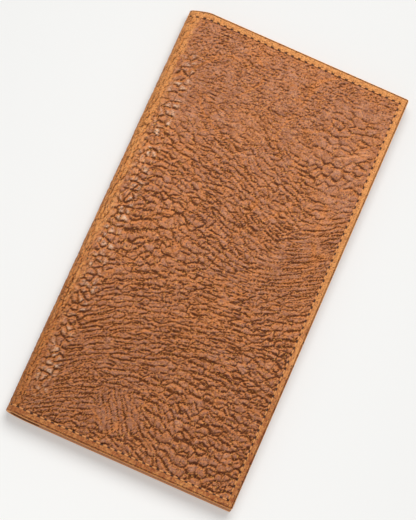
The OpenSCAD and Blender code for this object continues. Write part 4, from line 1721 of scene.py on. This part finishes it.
@dataclass(frozen=True)
class SmoothLeatherFinish:
    """Thin inner leather: fine pores, cloudy tone and a burnished mouth or edge."""

    name: str
    face: Colour
    face_dark: Colour
    edge: Colour
    grain_size: float
    roughness: float
    mouth_field: bool

    def material(self, effects: Effects) -> bpy.types.Material:
        """Builds the material from the piece's fields."""
        material, bench, shader = new_material(self.name)
        flow = bench.attribute("flow", "Vector")
        pores = effects.pores.place(bench, Place=flow, Size=self.grain_size)
        mottle = effects.mottle.place(bench, Place=flow, Size=6.0).outputs["Tone"]
        flecks = effects.flecks.place(bench, Place=flow, Size=0.5, Level=0.64).outputs["Mask"]
        tone = bench.mix(mottle, self.face_dark, self.face)
        tone = bench.veil(tone, pores.outputs["Pore"], 0.3, self.face_dark)
        tone = bench.veil(tone, flecks, 0.3, self.face_dark)
        if self.mouth_field:
            tone = bench.veil(tone, bench.attribute("mouth"), 0.6, self.edge)
        tone = bench.mix(bench.span(bench.attribute("rim"), 0.3, 0.9), tone, self.edge)
        bench.feed(shader.inputs["Base Color"], tone)
        rough = bench.span(mottle, 0.0, 1.0, self.roughness + 0.06, self.roughness)
        bench.feed(shader.inputs["Roughness"], rough)
        shader.inputs["IOR"].default_value = 1.45
        bump = bench.add(
            "ShaderNodeBump", {"Height": pores.outputs["Height"], "Strength": 0.4, "Distance": 0.08 * MM},
        )
        bench.feed(shader.inputs["Normal"], bump.outputs["Normal"])
        return material


@dataclass(frozen=True)
class ThreadFinish:
    """Waxed thread with three twisted plies, with painted shade where it sinks into a hole."""

    pale: Colour = srgb(236, 168, 94)
    dark: Colour = srgb(188, 114, 54)
    # painted shade where the thread sinks into a hole
    sunk: Colour = srgb(60, 30, 14)

    def material(self, effects: Effects) -> bpy.types.Material:
        """Builds the material from the thread's own coordinates."""
        material, bench, shader = new_material("waxed_thread")
        twist = bench.attribute("twist", "Vector")
        length, turn, dip = bench.split(twist)
        lay = bench.math("ADD", bench.math("MULTIPLY", length, 4.2), turn)
        ply = bench.math("MULTIPLY_ADD", bench.math("SINE", bench.math("MULTIPLY", lay, 3.0)), 0.5, 0.5)
        mottle = effects.mottle.place(bench, Place=twist, Size=1.6).outputs["Tone"]
        tone = bench.veil(self.dark, ply, 0.8, self.pale)
        tone = bench.veil(tone, mottle, 0.3, self.dark)
        # painted shade where the thread dips into a hole
        tone = bench.mix(bench.span(dip, 0.12, 0.4), tone, self.sunk)
        bench.feed(shader.inputs["Base Color"], tone)
        bench.feed(shader.inputs["Roughness"], bench.span(ply, 0.0, 1.0, 0.62, 0.45))
        bump = bench.add("ShaderNodeBump", {"Height": ply, "Strength": 0.6, "Distance": 0.05 * MM})
        bench.feed(shader.inputs["Normal"], bump.outputs["Normal"])
        return material


@dataclass(frozen=True)
class VinylFinish:
    """Clear soft vinyl with a faint bluish tint and fine handling marks."""

    tint: Colour = srgb(236, 244, 246)

    def material(self, effects: Effects) -> bpy.types.Material:
        """Builds the clear material."""
        material, bench, shader = new_material("clear_vinyl")
        place = bench.add("ShaderNodeTexCoord").outputs["Object"]
        marks = effects.mottle.place(bench, Place=place, Size=12.0 * MM).outputs["Tone"]
        shader.inputs["Base Color"].default_value = self.tint
        shader.inputs["Transmission Weight"].default_value = 1.0
        shader.inputs["IOR"].default_value = 1.5
        shader.inputs["Alpha"].default_value = 0.4
        bench.feed(shader.inputs["Roughness"], bench.span(marks, 0.0, 1.0, 0.04, 0.12))
        bump = bench.add("ShaderNodeBump", {"Height": marks, "Strength": 0.15, "Distance": 0.2 * MM})
        bench.feed(shader.inputs["Normal"], bump.outputs["Normal"])
        return material


@dataclass(frozen=True)
class Studio:
    """Floor, lamps and camera of the photograph."""

    camera_at: tuple[float, float, float] = (0.0148, -0.2245, 0.8853)
    camera_looks: tuple[float, float, float] = (-0.0162, 0.2440, -0.9696)
    camera_up: tuple[float, float, float] = (-0.4045, 0.8853, 0.2295)
    lens: float = 171.97
    sensor: float = 36.0
    floor_size: float = 3.0
    key_at: tuple[float, float, float] = (0.0, 0.235, 0.46)
    key_size: float = 0.42
    key_power: float = 2.85
    fill_at: tuple[float, float, float] = (0.02, -0.5, 0.04)
    fill_size: float = 0.3
    fill_power: float = 0.9
    world_strength: float = 0.36
    backdrop_share: float = 0.36
    backdrop_far: float = 0.44
    backdrop_near: float = 1.04
    backdrop_reach: float = 0.12
    shadow_ends: tuple[float, float] = (0.17, 0.4)

    def build(self) -> None:
        """Builds the whole studio."""
        self._floor()
        self._lamps()
        self._camera()

    def _floor(self) -> None:
        """White floor that shows near white to the camera, and still takes the shadow."""
        half = self.floor_size / 2
        mesh = bpy.data.meshes.new("floor")
        corners = [(x * half, y * half, 0.0) for x, y in ((-1, -1), (1, -1), (1, 1), (-1, 1))]
        mesh.from_pydata(corners, [], [(0, 1, 2, 3)])
        floor = bpy.data.objects.new("floor", mesh)
        bpy.context.scene.collection.objects.link(floor)
        material = bpy.data.materials.new("white_floor")
        material.use_nodes = True
        material.node_tree.nodes.clear()
        bench = NodeBench(material.node_tree)
        diffuse = bench.add("ShaderNodeBsdfDiffuse", {"Color": srgb(240, 240, 238)})
        place = bench.add("ShaderNodeTexCoord").outputs["Object"]
        level = bench.add("ShaderNodeMapRange", {
            "Value": bench.split(place)[1],
            "From Min": self.backdrop_reach,
            "From Max": -self.backdrop_reach,
            "To Min": self.backdrop_far,
            "To Max": self.backdrop_near,
        }).outputs[0]
        away = bench.add("ShaderNodeVectorMath", {0: place}, operation="LENGTH").outputs["Value"]
        outside = bench.span(away, *self.shadow_ends)
        level = bench.math("MULTIPLY_ADD", outside, bench.math("SUBTRACT", 1.0, level), level)
        share = bench.span(away, *self.shadow_ends, self.backdrop_share, 1.0)
        glow = bench.add("ShaderNodeEmission", {"Color": srgb(253, 252, 249), "Strength": level})
        mix = bench.add("ShaderNodeMixShader", {
            0: bench.math("MULTIPLY", self._seen(bench), share),
            1: diffuse.outputs[0],
            2: glow.outputs[0],
        })
        output = bench.add("ShaderNodeOutputMaterial")
        bench.feed(output.inputs["Surface"], mix.outputs[0])
        mesh.materials.append(material)

    @staticmethod
    def _seen(bench: NodeBench) -> bpy.types.NodeSocket:
        """1 for the rays that show the backdrop: the camera's own, mirrored and let through."""
        rays = bench.add("ShaderNodeLightPath").outputs
        seen = bench.math("MAXIMUM", rays["Is Camera Ray"], rays["Is Glossy Ray"])
        return bench.math("MAXIMUM", seen, rays["Is Transmission Ray"])

    def _lamp(self, name: str, place: tuple[float, float, float], size: float, power: float) -> None:
        """A round lamp aimed at the cover."""
        lamp = bpy.data.lights.new(name, "AREA")
        lamp.shape = "DISK"
        lamp.size = size
        lamp.energy = power
        item = bpy.data.objects.new(name, lamp)
        item.location = place
        item.rotation_euler = (Vector(place) * -1.0).to_track_quat("-Z", "Y").to_euler()
        bpy.context.scene.collection.objects.link(item)

    def _lamps(self) -> None:
        """A soft key lamp from the far side, a weak fill from the near side, and a pale world."""
        self._lamp("key", self.key_at, self.key_size, self.key_power)
        self._lamp("fill", self.fill_at, self.fill_size, self.fill_power)
        world = bpy.data.worlds.new("studio")
        world.use_nodes = True
        bench = NodeBench(world.node_tree)
        back = world.node_tree.nodes["Background"]
        back.inputs["Color"].default_value = srgb(250, 250, 252)
        strength = bench.span(self._seen(bench), 0.0, 1.0, self.world_strength, 1.0)
        bench.feed(back.inputs["Strength"], strength)
        bpy.context.scene.world = world

    def _camera(self) -> None:
        """Camera at the photograph's place, looking along its line."""
        data = bpy.data.cameras.new("camera")
        data.sensor_fit = "VERTICAL"
        data.sensor_height = self.sensor
        data.lens = self.lens
        data.clip_end = 20.0
        looks = Vector(self.camera_looks).normalized()
        right = looks.cross(Vector(self.camera_up)).normalized()
        upright = right.cross(looks)
        turn = Matrix((right, upright, -looks)).transposed()
        camera = bpy.data.objects.new("camera", data)
        camera.matrix_world = Matrix.Translation(self.camera_at) @ turn.to_4x4()
        bpy.context.scene.collection.objects.link(camera)
        bpy.context.scene.camera = camera


class CheckbookCover:
    """The whole cover: hide, lining, pockets, seam and divider."""

    def __init__(self) -> None:
        """Reads the plan and makes the finishes."""
        self.plan = CoverPlan.from_frame()
        effects = Effects()
        self.hide_finish = HideFinish().material(effects)
        self.lining_finish = SmoothLeatherFinish(
            "lining_leather", srgb(196, 146, 98), srgb(170, 118, 74), srgb(150, 92, 50), 0.8, 0.62, False,
        ).material(effects)
        self.pocket_finish = SmoothLeatherFinish(
            "pocket_leather", srgb(172, 110, 68), srgb(148, 90, 54), srgb(176, 108, 56), 0.55, 0.46, True,
        ).material(effects)
        self.thread_finish = ThreadFinish().material(effects)
        self.vinyl_finish = VinylFinish().material(effects)

    def build(self) -> None:
        """Builds the sub-assemblies in order, from the outside in."""
        plan = self.plan
        hide = SheetLayer("hide", "hide", "hide", 0.0, plan.hide_t, 0.42 * MM, 0.34 * MM)
        lining = SheetLayer("lining", "lining", "lining", plan.hide_t, plan.base_t, 1.4 * MM, 0.1 * MM)
        FoldedSheet(plan, hide, self.hide_finish, HideGrain(plan)).build()
        FoldedSheet(plan, lining, self.lining_finish, None).build()
        for half in Half:
            Pocket(plan, half, self.pocket_finish).build()
        Seam(plan, self.thread_finish).build()
        Divider(self.vinyl_finish).build()


def main() -> None:
    """Builds the studio and the cover."""
    logging.basicConfig(level=logging.INFO, format="%(name)s: %(message)s")
    bpy.context.scene.view_settings.view_transform = "Standard"
    Studio().build()
    CheckbookCover().build()


if __name__ == "__main__":
    main()
